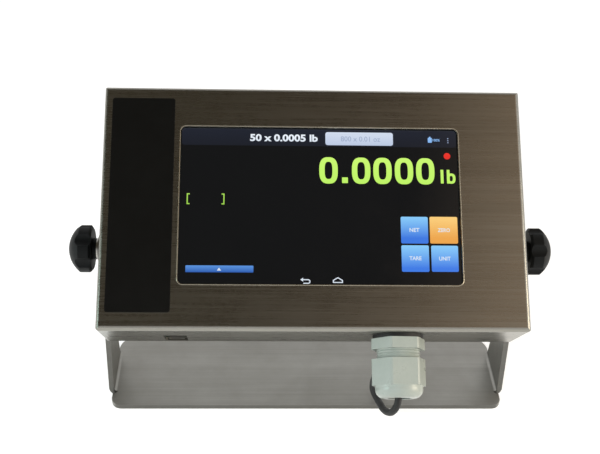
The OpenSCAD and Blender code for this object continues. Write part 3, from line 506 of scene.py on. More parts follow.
@dataclass(frozen=True)
class PrintedFilm(Finish):
    """A printed plastic film with a satin grain, a soft painted sheen in lighter patches and a paler cut edge."""

    colour: Colour
    painted_sheen: Colour
    rough: float = 0.38
    wear: float = 0.5

    def wire(self, paint: Paint) -> None:
        """Lets the gloss drift slightly over the film and paints a faint sheen in lighter patches."""
        patch = paint.mottle(34.0, 2.0)
        # Painted sheen: lighter patches of the film's colour.
        colour = paint.mix(patch, self.colour, self.painted_sheen)
        colour = paint.mix(paint.worn(0.0003, self.wear), colour, CUT_FILM)
        paint.lay(Specular_IOR_Level=0.18, Base_Color=colour, Roughness=paint.dulled(patch, self.rough, 0.1),
                  Normal=paint.grain(3600.0, 0.12, 1.5e-5))


@dataclass(frozen=True)
class Glass(Finish):
    """Clear plate glass with a faint green body and a trace of wiping marks."""

    tint: Colour

    def wire(self, paint: Paint) -> None:
        """Keeps the body clear and smears the gloss a little."""
        patch = paint.mottle(40.0, 4.0)
        paint.lay(Transmission_Weight=1.0, IOR=1.5, Base_Color=paint.mix(patch, self.tint, WIPED_GLASS),
                  Roughness=paint.dulled(patch, 0.02, 0.05))


@dataclass(frozen=True)
class LitInk(Finish):
    """One colour of the screen's picture: lit dots under smooth glass, with a soft fall from top to foot."""

    top: Colour
    foot: Colour
    high: float
    low: float
    rough: float = 0.09

    def wire(self, paint: Paint) -> None:
        """Lights the dots and leaves the glass its own reflection."""
        fall = paint.remap(paint.axis(1), self.low * MM, self.high * MM, 0.0, 1.0)
        light = paint.scale(paint.mix(fall, self.foot, self.top), paint.effect(paint.effects.pixels())[0])
        paint.lay(Base_Color=DARK_GLASS, Emission_Color=light, Emission_Strength=1.0,
                  Roughness=paint.dulled(paint.mottle(46.0, 3.0), self.rough, 0.1))


@dataclass(frozen=True)
class Laminate(Finish):
    """A circuit board: solder mask over copper tracks, with tinned pads."""

    mask: Colour
    track: Colour
    pad: Colour

    def wire(self, paint: Paint) -> None:
        """Draws tracks between square cells and a pad in some of them."""
        where = paint.place()
        square = {"Vector": where, "Scale": 260.0, "Randomness": 0.55}
        cells = paint.node("ShaderNodeTexVoronoi", square, distance="CHEBYCHEV").outputs[0]
        ways = paint.math("PINGPONG", paint.math("MULTIPLY", cells, 3.0), 0.5)
        track = paint.remap(ways, 0.18, 0.24, 1.0, 0.0)
        spots = paint.node("ShaderNodeTexVoronoi", {"Vector": where, "Scale": 480.0}).outputs[0]
        pad = paint.remap(spots, 0.16, 0.2, 1.0, 0.0)
        height = paint.math("ADD", paint.math("MULTIPLY", track, 0.5), pad)
        paint.lay(Base_Color=paint.mix(pad, paint.mix(track, self.mask, self.track), self.pad),
                  Metallic=paint.math("MULTIPLY", pad, 0.9), Roughness=paint.remap(pad, 0.0, 1.0, 0.34, 0.25),
                  Normal=paint.bump(height, 0.3, 3e-5))


@dataclass(frozen=True)
class Cores(Finish):
    """Insulated cable cores, each in its own colour by its place across the terminals."""

    colours: tuple[Colour, ...]
    first: float
    pitch: float

    def wire(self, paint: Paint) -> None:
        """Picks the colour by the distance along X and gives the skin a fine texture."""
        count = len(self.colours)
        share = paint.remap(paint.axis(0), self.first, self.first + self.pitch * count, 0.0, 1.0)
        stops = [(index / count, colour) for index, colour in enumerate(self.colours)]
        patch = paint.mottle(300.0, 2.0)
        colour = paint.scale(paint.ramp(share, stops, "CONSTANT"), paint.remap(patch, 0.0, 1.0, 0.85, 1.0))
        paint.lay(Base_Color=colour, Roughness=paint.dulled(patch, 0.35, 0.15))


@dataclass(frozen=True)
class Striped(Finish):
    """A flat film with drawn lines across X, such as a ribbon's conductors or a wrap's seam."""

    colour: Colour
    line: Colour
    pitch: float
    share: float
    rough: float = 0.3

    def wire(self, paint: Paint) -> None:
        """Repeats a line at the pitch and clouds the film between."""
        cell = paint.math("FRACT", paint.math("DIVIDE", paint.axis(0), self.pitch))
        line = paint.math("LESS_THAN", cell, self.share)
        patch = paint.mottle(120.0, 2.2)
        clouds = paint.remap(patch, 0.0, 1.0, 0.88, 1.04)
        colour = paint.scale(paint.mix(line, self.colour, self.line), clouds)
        paint.lay(Base_Color=colour, Roughness=paint.dulled(patch, self.rough, 0.12),
                  Normal=paint.bump(line, 0.2, 3e-5))


LEAN = math.radians(50.5)


class Skin(Enum):
    """Every finish on the indicator."""

    HEAD_SHEET = BrushedSheet(
        "head_sheet", tone(150, 148, 141), tone(143, 141, 134), tone(128, 125, 116), rough=0.25, lean=LEAN,
        stains=0.15,
    )
    # cut=0.5 paints shade on the bracket's faces square to Y.
    BRACKET_SHEET = BrushedSheet(
        "bracket_sheet", tone(156, 155, 150), tone(148, 147, 142), tone(132, 130, 124), rough=0.38,
        stains=0.35, line_depth=0.2, cut=0.5,
    )
    # A brighter, creamier copy of the head's steel on the window's edge: a painted highlight.
    WINDOW_EDGE_HIGHLIGHT = Metal("window_edge_highlight", tone(214, 208, 190), tone(188, 182, 164), rough=0.22)
    STEEL = Metal("fastener_steel", tone(190, 188, 182), tone(160, 158, 152))
    PLATED = Metal("plug_plating", tone(186, 186, 184), tone(150, 150, 148), rough=0.24)
    BRASS = Metal("contact_gold", tone(212, 176, 98), tone(184, 146, 76), rough=0.22)
    FINNED = Metal("sink_black", tone(44, 45, 48), tone(30, 31, 34), rough=0.42)
    KNOB = Moulding(
        "knob_black", tone(14, 16, 17), tone(10, 12, 13), tone(40, 44, 45), rough=0.5, rub=0.25, gloss=0.16
    )
    GLAND = Moulding(
        "gland_grey", tone(170, 178, 171), tone(160, 169, 162), tone(198, 205, 198), rough=0.3, depth=0.06,
        coat=0.25, rub=0.3,
    )
    RUBBER = Moulding("seal_black", tone(24, 24, 24), tone(17, 17, 17), tone(52, 52, 52), rough=0.6, depth=0.3)
    GRIP = Moulding("plug_black", tone(30, 31, 33), tone(22, 23, 25), tone(74, 76, 78), rough=0.38)
    HOLDER = Moulding("holder_black", tone(34, 34, 36), tone(25, 25, 27), tone(80, 80, 82), rough=0.46)
    TERMINAL = Moulding("terminal_green", tone(46, 118, 66), tone(36, 98, 54), tone(120, 170, 130), rough=0.36)
    TAPE = Moulding(
        "white_foam", tone(232, 230, 222), tone(214, 211, 202), tone(244, 243, 238), rough=0.8, depth=0.5
    )
    LABEL = PrintedFilm("label_black", tone(9, 9, 8), tone(13, 13, 12))
    JACKET = Jacket("cable_black", tone(10, 10, 11), tone(22, 22, 23))
    GLASS = Glass("front_glass", tone(224, 240, 232))
    PANEL = Metal("panel_back", tone(150, 152, 154), tone(124, 126, 128), rough=0.34, scale=500.0)
    BOARD = Laminate("green_board", tone(18, 74, 44), tone(34, 104, 62), tone(204, 190, 150))
    RIBBON = Striped("ribbon_amber", tone(196, 138, 52), tone(152, 92, 40), pitch=0.0008, share=0.45)
    WRAP = Striped("cell_wrap", tone(42, 92, 148), tone(210, 214, 218), pitch=0.034, share=0.06, rough=0.26)
    CORES = Cores(
        "core_colours", (tone(176, 30, 28), tone(24, 24, 26), tone(222, 222, 216), tone(36, 120, 60)),
        first=0.052, pitch=0.007,
    )
    SCREEN = LitInk("screen_black", tone(10, 13, 16), tone(9, 12, 15), 114.0, 26.0)
    HEADER = LitInk("screen_navy", tone(30, 35, 48), tone(24, 28, 38), 115.0, 104.0)
    LIME = LitInk("screen_lime", tone(206, 252, 116), tone(192, 246, 104), 99.0, 82.0)
    WHITE = LitInk("screen_white", tone(238, 244, 252), tone(224, 234, 246), 112.0, 106.0)
    PALE = LitInk("screen_pale", tone(214, 224, 242), tone(190, 204, 230), 113.0, 105.0)
    DIM = LitInk("screen_dim", tone(158, 174, 204), tone(148, 164, 196), 112.0, 106.0)
    SKY = LitInk("screen_sky", tone(150, 196, 250), tone(130, 182, 244), 112.0, 106.0)
    GREEN = LitInk("screen_green", tone(172, 224, 92), tone(160, 214, 82), 77.0, 70.0)
    RED = LitInk("screen_red", tone(240, 52, 42), tone(228, 44, 36), 102.0, 97.0)
    BLUE_HIGH = LitInk("button_blue_high", tone(138, 206, 254), tone(62, 122, 228), 64.0, 52.0)
    BLUE_LOW = LitInk("button_blue_low", tone(138, 206, 254), tone(62, 124, 232), 47.6, 35.0)
    ORANGE = LitInk("button_orange", tone(255, 210, 126), tone(240, 168, 78), 64.0, 52.0)
    BAR = LitInk("bar_blue", tone(92, 150, 226), tone(44, 92, 176), 35.9, 32.1)

    def slot_of(self) -> str:
        """The record's material slot that new pieces in this finish belong to."""
        if isinstance(self.value, LitInk):
            return "screen_glass"
        return {
            Skin.WINDOW_EDGE_HIGHLIGHT: "brushed_sheet",
            Skin.GLAND: "gland_plastic",
            Skin.JACKET: "cable_jacket",
            Skin.LABEL: "label_film",
        }[self]


# ---- Pieces and their finishes


def put(name: str, data: bpy.types.ID) -> bpy.types.Object:
    """Puts a new object with a mesh, a camera, a light or text into the scene."""
    made = bpy.data.objects.new(name, data)
    bpy.context.scene.collection.objects.link(made)
    return made


def settled(form: bmesh.types.BMesh, name: str) -> bpy.types.Mesh:
    """Turns a mesh under work into a named mesh and lets go of it."""
    mesh = bpy.data.meshes.new(name)
    form.to_mesh(mesh)
    form.free()
    return mesh


class Shop:
    """Makes each material once and gives it to solids and new pieces."""

    def __init__(self, frame: dict) -> None:
        """Keeps the loaded frame.
        """
        self.nodes: dict[str, bpy.types.Object] = frame["nodes"]
        self.effects = Effects()
        self.made: dict[Skin, bpy.types.Material] = {}
        self.dressed: set[str] = set()

    def material(self, skin: Skin) -> bpy.types.Material:
        """Returns the material of a finish, made on first use."""
        if skin not in self.made:
            self.made[skin] = skin.value.make(self.effects)
        return self.made[skin]

    def dress(self, skin: Skin, names: str) -> None:
        """Gives solids a finish.

        Args:
            skin: The finish.
            names: The solids' names, with spaces between them.
        """
        for name in names.split():
            for slot in self.nodes[name].material_slots:
                slot.link = "OBJECT"
                slot.material = self.material(skin)
            self.dressed.add(name)
            log.info("dressed %s in %s", name, skin.value.name)

    def piece(self, mesh: bpy.types.Mesh, skin: Skin, place: Matrix | None = None) -> bpy.types.Object:
        """Turns a mesh into a new piece with a finish.

        Args:
            mesh: The mesh, whose name the piece takes.
            skin: The finish.
            place: Where it goes, or none if its points are in the part's frame.

        Returns:
            The piece, not yet riding on a body.
        """
        made = put(mesh.name, mesh)
        mesh.materials.append(self.material(skin))
        if place is not None:
            made.matrix_world = place
        skin.slot_of()
        log.info("made %s", made.name)
        return made


# ---- Mesh code


def rounded_rectangle(
    left: float, right: float, foot: float, top: float, radius: float, steps: int = 8
) -> Loop:
    """Draws a rectangle with round corners, counter-clockwise.

    Args:
        left: Least x.
        right: Greatest x.
        foot: Least y.
        top: Greatest y.
        radius: Radius of the corners.
        steps: Straight pieces in each corner.

    Returns:
        The loop's points.
    """
    corners = ((right - radius, foot + radius, -90), (right - radius, top - radius, 0),
               (left + radius, top - radius, 90), (left + radius, foot + radius, 180))
    return [
        (x + radius * math.cos(math.radians(start + 90 * i / steps)),
         y + radius * math.sin(math.radians(start + 90 * i / steps)))
        for x, y, start in corners
        for i in range(steps + 1)
    ]


def oval(x: float, y: float, width: float, height: float, power: float = 2.0, steps: int = 48) -> Loop:
    """Draws an oval that gets squarer with its power, 2 being a plain ellipse.

    Args:
        x: Middle, across.
        y: Middle, up.
        width: Whole width.
        height: Whole height.
        power: How square it is.
        steps: Number of points.

    Returns:
        The loop's points.
    """
    points = []
    for i in range(steps):
        c, s = math.cos(math.tau * i / steps), math.sin(math.tau * i / steps)
        points.append((
            x + width / 2 * math.copysign(abs(c) ** (2 / power), c),
            y + height / 2 * math.copysign(abs(s) ** (2 / power), s),
        ))
    return points


def stroke(points: Sequence[Flat], width: float) -> Loop:
    """Draws an open line of one width with mitred corners.

    Args:
        points: The line's points.
        width: The line's width.

    Returns:
        The outline as a closed loop.
    """
    left, right = [], []
    for i, point in enumerate(points):
        here = Vector(point)
        before = (here - Vector(points[i - 1])).normalized() if i else None
        after = (Vector(points[i + 1]) - here).normalized() if i + 1 < len(points) else None
        way = ((before or after) + (after or before)).normalized()
        side = Vector((-way.y, way.x))
        reach = width / 2 / max(0.3, side.dot(Vector((-(before or after).y, (before or after).x))))
        left.append(tuple(here + side * reach))
        right.append(tuple(here - side * reach))
    return right + left[::-1]


def sweep(name: str, rings: Sequence[Sequence[Vector]], closed: bool, caps: bool) -> bpy.types.Mesh:
    """Skins a row of rings of equal count.

    Args:
        name: The mesh's name.
        rings: The rings, in order.
        closed: Whether the last ring joins the first.
        caps: Whether flat caps close the two ends.

    Returns:
        The smooth-shaded mesh.
    """
    form = bmesh.new()
    rows = [[form.verts.new(p) for p in ring] for ring in rings]
    count = len(rows[0])
    for i in range(len(rows) if closed else len(rows) - 1):
        a, b = rows[i], rows[(i + 1) % len(rows)]
        for k in range(count):
            form.faces.new((a[k], a[(k + 1) % count], b[(k + 1) % count], b[k]))
    if caps:
        form.faces.new(rows[0])
        form.faces.new(rows[-1])
    bmesh.ops.recalc_face_normals(form, faces=form.faces[:])
    for face in form.faces:
        face.smooth = len(face.verts) == 4
    return settled(form, name)


@dataclass(frozen=True)
class HeadAxes:
    """The head's own axes: x across, up along the face from its lower edge, deep behind the face. In mm."""

    pivot_high: float = 100.0
    pivot_up: float = 50.5
    pivot_deep: float = 28.0
    lean: float = LEAN

    def point(self, x: float, deep: float, up: float) -> Vector:
        """Turns a place on the head into a point in the part's frame.

        Args:
            x: Across, in mm.
            deep: Behind the face, in mm.
            up: Along the face, in mm.

        Returns:
            The point in metres.
        """
        y, z = deep - self.pivot_deep, up - self.pivot_up
        s, c = math.sin(self.lean), math.cos(self.lean)
        return Vector((x, z * s + y * c, self.pivot_high + z * c - y * s)) * MM

    def plane(self, deep: float) -> Matrix:
        """Returns the matrix of a plane along the face: x across, y up the face, z towards the viewer."""
        s, c = math.sin(self.lean), math.cos(self.lean)
        turn = Matrix(((1, 0, 0), (0, s, -c), (0, c, s))).to_4x4()
        return Matrix.Translation(self.point(0, deep, 0)) @ turn


# ---- The free signal cable


@dataclass
class SignalCable:
    """The cable: out of the gland, round a loop, over the plate and into a coil behind the head. In mm."""

    axes: HeadAxes
    diameter_mm: float = 4.0
    whole_mm: float = 1648.0
    sides: int = 16
    curve_steps: int = 8
    gland_x: float = 47.0
    gland_deep: float = 18.5
    start_down: float = 25.5
    straight_down: float = 30.5
    bend_down: float = 34.5
    loop: list[list[float]] = field(default_factory=lambda: [
        [46, -72.6, 49.4], [43.6, -72, 43], [40.6, -66.6, 38.6], [38.1, -57, 36], [36.3, -45, 33.4],
        [38.4, -32, 28.6], [42.4, -19, 21], [47, -6, 12.4],
    ])
    run: list[list[float]] = field(default_factory=lambda: [
        [50.2, 6, 6.4], [52.8, 18, 5.2], [54, 31, 5.2], [54, 43, 3.5], [54, 55, 2.15], [54, 66, 2.05],
    ])
    lead: list[list[float]] = field(default_factory=lambda: [
        [15, 112, 6.8], [10, 112, 7.2], [5, 112, 7.9], [0, 112, 8.4], [-4, 112, 8.55],
    ])
    coil_middle: tuple[float, float] = (20.0, 78.0)
    coil_radius: float = 34.0
    coil_pitch: float = 4.6
    coil_turns: float = 10.25
    coil_steps: int = 48
    coil_climb: float = 0.8
    on_floor: float = 2.05
    plug_end: tuple[float, float, float] = (-22.0, 112.0, 8.55)
    boot_long: float = 18.0
    steer: float = 4.0

    def below_gland(self, down: float) -> list[float]:
        """Returns a point on the gland's axis so many mm below the head's underside, in mm."""
        return [v / MM for v in self.axes.point(self.gland_x, self.gland_deep, -down)]

    def curve(self, points: Sequence[Sequence[float]]) -> list[Vector]:
        """Runs a smooth curve through all points but the first and last, which only steer its ends.

        Args:
            points: The points, in mm.

        Returns:
            The curve's points, in mm.
        """
        p = [Vector(q) for q in points]
        made = []
        for i in range(1, len(p) - 2):
            a, b, c, d = p[i - 1 : i + 3]
            for k in range(self.curve_steps):
                t = k / self.curve_steps
                made.append(0.5 * (2 * b + (c - a) * t + (2 * a - 5 * b + 4 * c - d) * t**2
                                   + (3 * b - a - 3 * c + d) * t**3))
        return made + [p[-2]]

    def coil_point(self, turn: float) -> Vector:
        """Returns the coil's point after so many turns: inwards on the bench, then outwards on top."""
        half = self.coil_turns / 2
        radius = self.coil_radius - self.coil_pitch * (half - abs(turn - half))
        rise = min(1.0, max(0.0, (turn - half + self.coil_climb / 2) / self.coil_climb))
        angle = math.tau * turn
        x, y = self.coil_middle
        return Vector((x + radius * math.cos(angle), y + radius * math.sin(angle),
                       self.on_floor + self.coil_pitch * rise * rise * (3 - 2 * rise)))

    def centreline(self) -> list[Vector]:
        """Joins loop, run, coil and lead into one line, in metres."""
        count = int(self.coil_turns * self.coil_steps) + 1
        coil = [self.coil_point(i / self.coil_steps) for i in range(count)]
        start, straight = self.below_gland(self.start_down), self.below_gland(self.straight_down)
        foot = list(coil[0] - Vector((0, self.diameter_mm, 0)))
        free = self.curve([start, straight, *self.loop, *self.run, foot, coil[0]])
        end, ahead = Vector(self.plug_end), Vector((self.steer, 0, 0))
        mouth = end + Vector((self.boot_long, 0, 0))
        lead = self.curve([coil[-1] + ahead, coil[-1], *self.lead, mouth - ahead])
        line = [Vector(start), *free, *coil[1:], *lead[1:], end]
        return [p * MM for p in line]

    def rings(self, line: Sequence[Vector]) -> list[list[Vector]]:
        """Sets a ring of points square to the line at each of its points, without twist."""
        side = Vector((1, 0, 0))
        angles = [math.tau * k / self.sides for k in range(self.sides)]
        made = []
        for i, here in enumerate(line):
            way = (line[min(i + 1, len(line) - 1)] - line[max(i - 1, 0)]).normalized()
            side = (side - way * side.dot(way)).normalized()
            other = way.cross(side)
            made.append([
                here + (side * math.cos(angle) + other * math.sin(angle)) * self.diameter_mm / 2 * MM
                for angle in angles
            ])
        return made

    def build(self, shop: Shop) -> None:
        line = self.centreline()
        tube = shop.piece(sweep("signal_cable", self.rings(line), closed=False, caps=True), Skin.JACKET)
        self.axes.point(self.gland_x, self.gland_deep, -self.bend_down)
        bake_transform(tube)
        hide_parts("cable_loop", "cable_run", "cable_coil")
        shop.dress(Skin.JACKET, "inner_cable plug_boot cable_loop cable_run cable_coil")
        shop.dress(Skin.GRIP, "plug_grip plug_insert")
        shop.dress(Skin.PLATED, "plug_shell")
        shop.dress(Skin.BRASS, "plug_contacts")


# ---- The screen's picture


@dataclass
class InkLayer:
    """Flat shapes of one ink, drawn in mm on the head's face and laid just in front of the glass."""

    name: str
    skin: Skin
    lift_mm: float
    thick_mm: float = 0.012
    points: list[Flat] = field(default_factory=list)
    faces: list[tuple[int, ...]] = field(default_factory=list)

    def cut(self, outline: Loop, *holes: Loop) -> None:
        """Adds a filled shape.

        Args:
            outline: Its outer loop.
            holes: Loops left open in it.
        """
        loops = [outline, *holes]
        first = len(self.points)
        self.points.extend(p for loop in loops for p in loop)
        for face in tessellate_polygon([[Vector((*p, 0)) for p in loop] for loop in loops]):
            self.faces.append(tuple(first + i for i in face))

    def box(self, *edges: float, steps: int = 4) -> "InkLayer":
        """Adds a round-cornered box by its left, right, foot, top and radius, and returns the layer."""
        self.cut(rounded_rectangle(*edges, steps=steps))
        return self

    def letters(
        self, text: str, left: float, right: float, middle: float, high: float, weight: float = 0.0
    ) -> None:
        """Adds generic lettering in the built-in face, fitted to a place.

        Args:
            text: The characters.
            left: Least x.
            right: Greatest x.
            middle: Height of the middle of the line.
            high: Height of the whole line.
            weight: How much the strokes are thickened, as a share of the letter's size.
        """
        curve = bpy.data.curves.new("letters", "FONT")
        curve.body, curve.offset, curve.resolution_u = text, weight, 3
        stand_in = put("letters", curve)
        mesh = bpy.data.meshes.new_from_object(stand_in.evaluated_get(bpy.context.evaluated_depsgraph_get()))
        bpy.data.objects.remove(stand_in)
        xs, ys = [v.co.x for v in mesh.vertices], [v.co.y for v in mesh.vertices]
        low_x, wide = min(xs), max(xs) - min(xs)
        low_y, tall = min(ys), max(ys) - min(ys)
        first = len(self.points)
        self.points.extend(
            (left + (v.co.x - low_x) / wide * (right - left), middle + ((v.co.y - low_y) / tall - 0.5) * high)
            for v in mesh.vertices
        )
        self.faces.extend(tuple(first + i for i in face.vertices) for face in mesh.polygons)
        bpy.data.meshes.remove(mesh)
        bpy.data.curves.remove(curve)

    def build(self, shop: Shop, axes: HeadAxes, glass_deep: float) -> None:
        """Makes the piece and lets it ride on the head.

        Args:
            shop: Gives the finish.
            axes: The head's axes.
            glass_deep: The glass front's depth behind the face, in mm.
        """
        form = bmesh.new()
        spots = [form.verts.new((x * MM, y * MM, 0)) for x, y in self.points]
        for face in self.faces:
            made = form.faces.new([spots[i] for i in face])
            made.normal_update()
            if made.normal.z < 0:
                made.normal_flip()
        piece = shop.piece(settled(form, self.name), self.skin, axes.plane(glass_deep - self.lift_mm))
        body = piece.modifiers.new("thickness", "SOLIDIFY")
        body.thickness = self.thick_mm * MM
        body.offset = -1
        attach(piece, "head")


@dataclass
class ScreenPicture:
    """What the screen shows: ranges, reading, zero mark, four function keys and navigation marks. In mm."""

    axes: HeadAxes
    glass_deep: float = 2.1
    left: float = -74.45
    right: float = 81.05
    foot: float = 25.35
    top: float = 114.85
    corner: float = 2.9
    digit_wide: float = 10.4
    digit_high: float = 15.4
    digit_line: float = 3.05
    digit_foot: float = 82.8
    digit_places: tuple[float, ...] = (2.9, 21.2, 33.2, 45.3, 57.3)
    word_high: float = 2.2
    words: tuple[tuple[str, float, float, float], ...] = (
        ("NET", 52.7, 58.2, 56.6), ("ZERO", 68.4, 75.2, 56.6),
        ("TARE", 52.2, 58.9, 40.6), ("UNIT", 68.6, 75.0, 40.5),
    )

    def zero(self, layer: InkLayer, left: float) -> None:
        """Draws one upright nought with straight sides."""
        x, y = left + self.digit_wide / 2, self.digit_foot + self.digit_high / 2
        line = self.digit_line
        layer.cut(
            oval(x, y, self.digit_wide, self.digit_high, 2.7),
            oval(x, y, self.digit_wide - 2 * line, self.digit_high - 1.75 * line, 2.9),
        )

    def reading(self) -> InkLayer:
        """Draws the reading and its unit."""
        layer = InkLayer("screen_reading", Skin.LIME, 0.07)
        for left in self.digit_places:
            self.zero(layer, left)
        layer.box(15.6, 18.9, 83.2, 86.5, 0.3, steps=3)
        for left, right in ((71.1, 72.7), (74.6, 76.2)):
            layer.box(left, right, 83.5, 91.5, 0.2, steps=2)
        layer.cut(oval(77.0, 86.4, 4.9, 6.0, 2.5, 32), oval(77.0, 86.4, 1.9, 3.2, 2.4, 32))
        return layer

    def keys(self) -> list[InkLayer]:
        """Draws the four function keys and their words."""
        high = InkLayer("screen_keys_high", Skin.BLUE_HIGH, 0.06).box(47.9, 63.0, 48.9, 64.1, 0.8)
        zero = InkLayer("screen_key_zero", Skin.ORANGE, 0.06).box(64.0, 79.5, 49.0, 64.2, 0.8)
        low = InkLayer("screen_keys_low", Skin.BLUE_LOW, 0.06).box(47.9, 63.1, 33.0, 47.9, 0.8)
        low.box(64.4, 79.3, 33.1, 47.8, 0.8)
        words = InkLayer("screen_key_words", Skin.WHITE, 0.09)
        for word, left, right, middle in self.words:
            words.letters(word, left, right, middle, self.word_high, 0.02)
        return [high, zero, low, words]

    def header(self) -> list[InkLayer]:
        """Draws the band along the top with the two ranges, the charge and the menu mark."""
        band = InkLayer("screen_header", Skin.HEADER, 0.05)
        band.box(self.left + 0.5, self.right - 0.5, 104.6, 114.5, 1.6)
        pill = InkLayer("screen_range_field", Skin.PALE, 0.07).box(6.5, 44.7, 105.3, 113.0, 1.3, steps=5)
        ranges = InkLayer("screen_range_words", Skin.WHITE, 0.08)
        ranges.letters("50 x 0.0005 lb", -35.9, 2.2, 109.3, 4.3, 0.035)
        other = InkLayer("screen_other_range", Skin.DIM, 0.09)
        other.letters("800 x 0.01 oz", 15.2, 37.4, 109.1, 3.0)
        marks = InkLayer("screen_status", Skin.SKY, 0.08).box(64.5, 66.8, 107.4, 110.3, 0.4, steps=3)
        marks.box(65.2, 66.1, 110.2, 110.9, 0.1, steps=2)
        marks.letters("100%", 67.2, 71.3, 108.9, 1.5, 0.02)
        menu = InkLayer("screen_menu", Skin.DIM, 0.08)
        for y in (107.5, 108.7, 109.9):
            menu.cut(oval(75.9, y, 0.7, 0.7, 2.0, 16))
        return [band, pill, ranges, other, marks, menu]

    def marks(self) -> list[InkLayer]:
        """Draws the zero mark, the field's brackets, the pull-up bar and the two navigation marks."""
        dot = InkLayer("screen_zero_mark", Skin.RED, 0.07)
        dot.cut(oval(75.1, 99.5, 3.8, 3.8, 2.0, 32))
        field_ends = InkLayer("screen_field_ends", Skin.GREEN, 0.07)
        for tip, back in ((-68.9, -70.2), (-51.3, -50.0)):
            field_ends.cut(stroke([(tip, 76.2), (back, 76.2), (back, 70.6), (tip, 70.6)], 0.65))
        bar = InkLayer("screen_bar", Skin.BAR, 0.06).box(-70.3, -33.4, 32.1, 35.9, 0.4, steps=3)
        pull = InkLayer("screen_navigation", Skin.WHITE, 0.08)
        pull.cut([(-53.3, 33.1), (-50.9, 33.1), (-52.1, 34.7)])
        pull.cut([(-7.9, 28.3), (-6.3, 27.2), (-6.3, 29.4)])
        turn = [(-3.6 + 1.0 * math.sin(math.radians(a)), 27.3 + 1.0 * math.cos(math.radians(a)))
                for a in range(0, 181, 20)]
        pull.cut(stroke([(-6.4, 28.3), *turn, (-6.2, 26.3)], 0.55))
        house = [(9.9, 26.6), (15.4, 26.6), (15.4, 28.2), (12.65, 29.8), (9.9, 28.2)]
        inner = [(10.5, 27.1), (14.8, 27.1), (14.8, 27.9), (12.65, 29.15), (10.5, 27.9)]
        pull.cut(house, inner)
        return [dot, field_ends, bar, pull]

    def build(self, shop: Shop) -> None:
        """Lays the black screen and everything lit on it."""
        ground = InkLayer("screen_ground", Skin.SCREEN, 0.03)
        ground.box(self.left, self.right, self.foot, self.top, self.corner, steps=8)
        for layer in [ground, *self.header(), self.reading(), *self.keys(), *self.marks()]:
            layer.build(shop, self.axes, self.glass_deep)


# ---- The head


@dataclass
class Head:
    """The leaning head: folded housing with its window, label and back cover, and all that is inside. In mm."""

    axes: HeadAxes
    window_left: float = -74.5
    window_right: float = 81.1
    window_foot: float = 25.3
    window_top: float = 114.9
    window_corner: float = 3.0
    edge_profile: tuple[Flat, ...] = (
        (-0.06, 0.95), (-0.06, 0.4), (0.0, 0.12), (0.16, -0.03),
        (0.4, -0.07), (0.56, -0.03), (0.62, 0.1), (0.3, 0.9),
    )

    def window_edge_highlight(self, shop: Shop) -> None:
        """Makes the polished edge of the window's cut-out, in a brighter, creamier copy of the head's steel: a
        painted highlight.
        """
        loops = [
            rounded_rectangle(
                self.window_left - out, self.window_right + out, self.window_foot - out, self.window_top + out,
                self.window_corner + out,
            )
            for out, _ in self.edge_profile
        ]
        rings = [
            [self.axes.point(loop[i][0], deep, loop[i][1]) for loop, (_, deep) in zip(loops, self.edge_profile)]
            for i in range(len(loops[0]))
        ]
        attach(shop.piece(sweep("window_edge_highlight", rings, closed=True, caps=False), Skin.WINDOW_EDGE_HIGHLIGHT), "head")

    def build(self, shop: Shop) -> None:
        """Dresses the head's solids and makes the window's edge."""
        for skin, names in {
            Skin.HEAD_SHEET: "front_housing rear_cover",
            Skin.LABEL: "label_plate",
            Skin.GLASS: "touch_glass",
            Skin.RUBBER: "cover_gasket window_gasket",
            Skin.TAPE: "panel_tape",
            Skin.PANEL: "lcd_panel display_clamp",
            Skin.BOARD: "computer_board load_cell_board usb_board",
            Skin.FINNED: "heat_sink",
            Skin.TERMINAL: "terminal_block",
            Skin.HOLDER: "ribbon_socket usb_tongue battery_holder",
            Skin.RIBBON: "display_ribbon",
            Skin.CORES: "load_cell_wires",
            Skin.WRAP: "battery_cells",
            Skin.STEEL: "cover_screws rivet_nuts clamp_studs clamp_nuts board_spacers board_screws battery_strap "
                        "usb_shell usb_bracket pivot_nut_left pivot_nut_right friction_washer_left "
                        "friction_washer_right",
        }.items():
            shop.dress(skin, names)
        self.window_edge_highlight(shop)


# ---- The cable gland


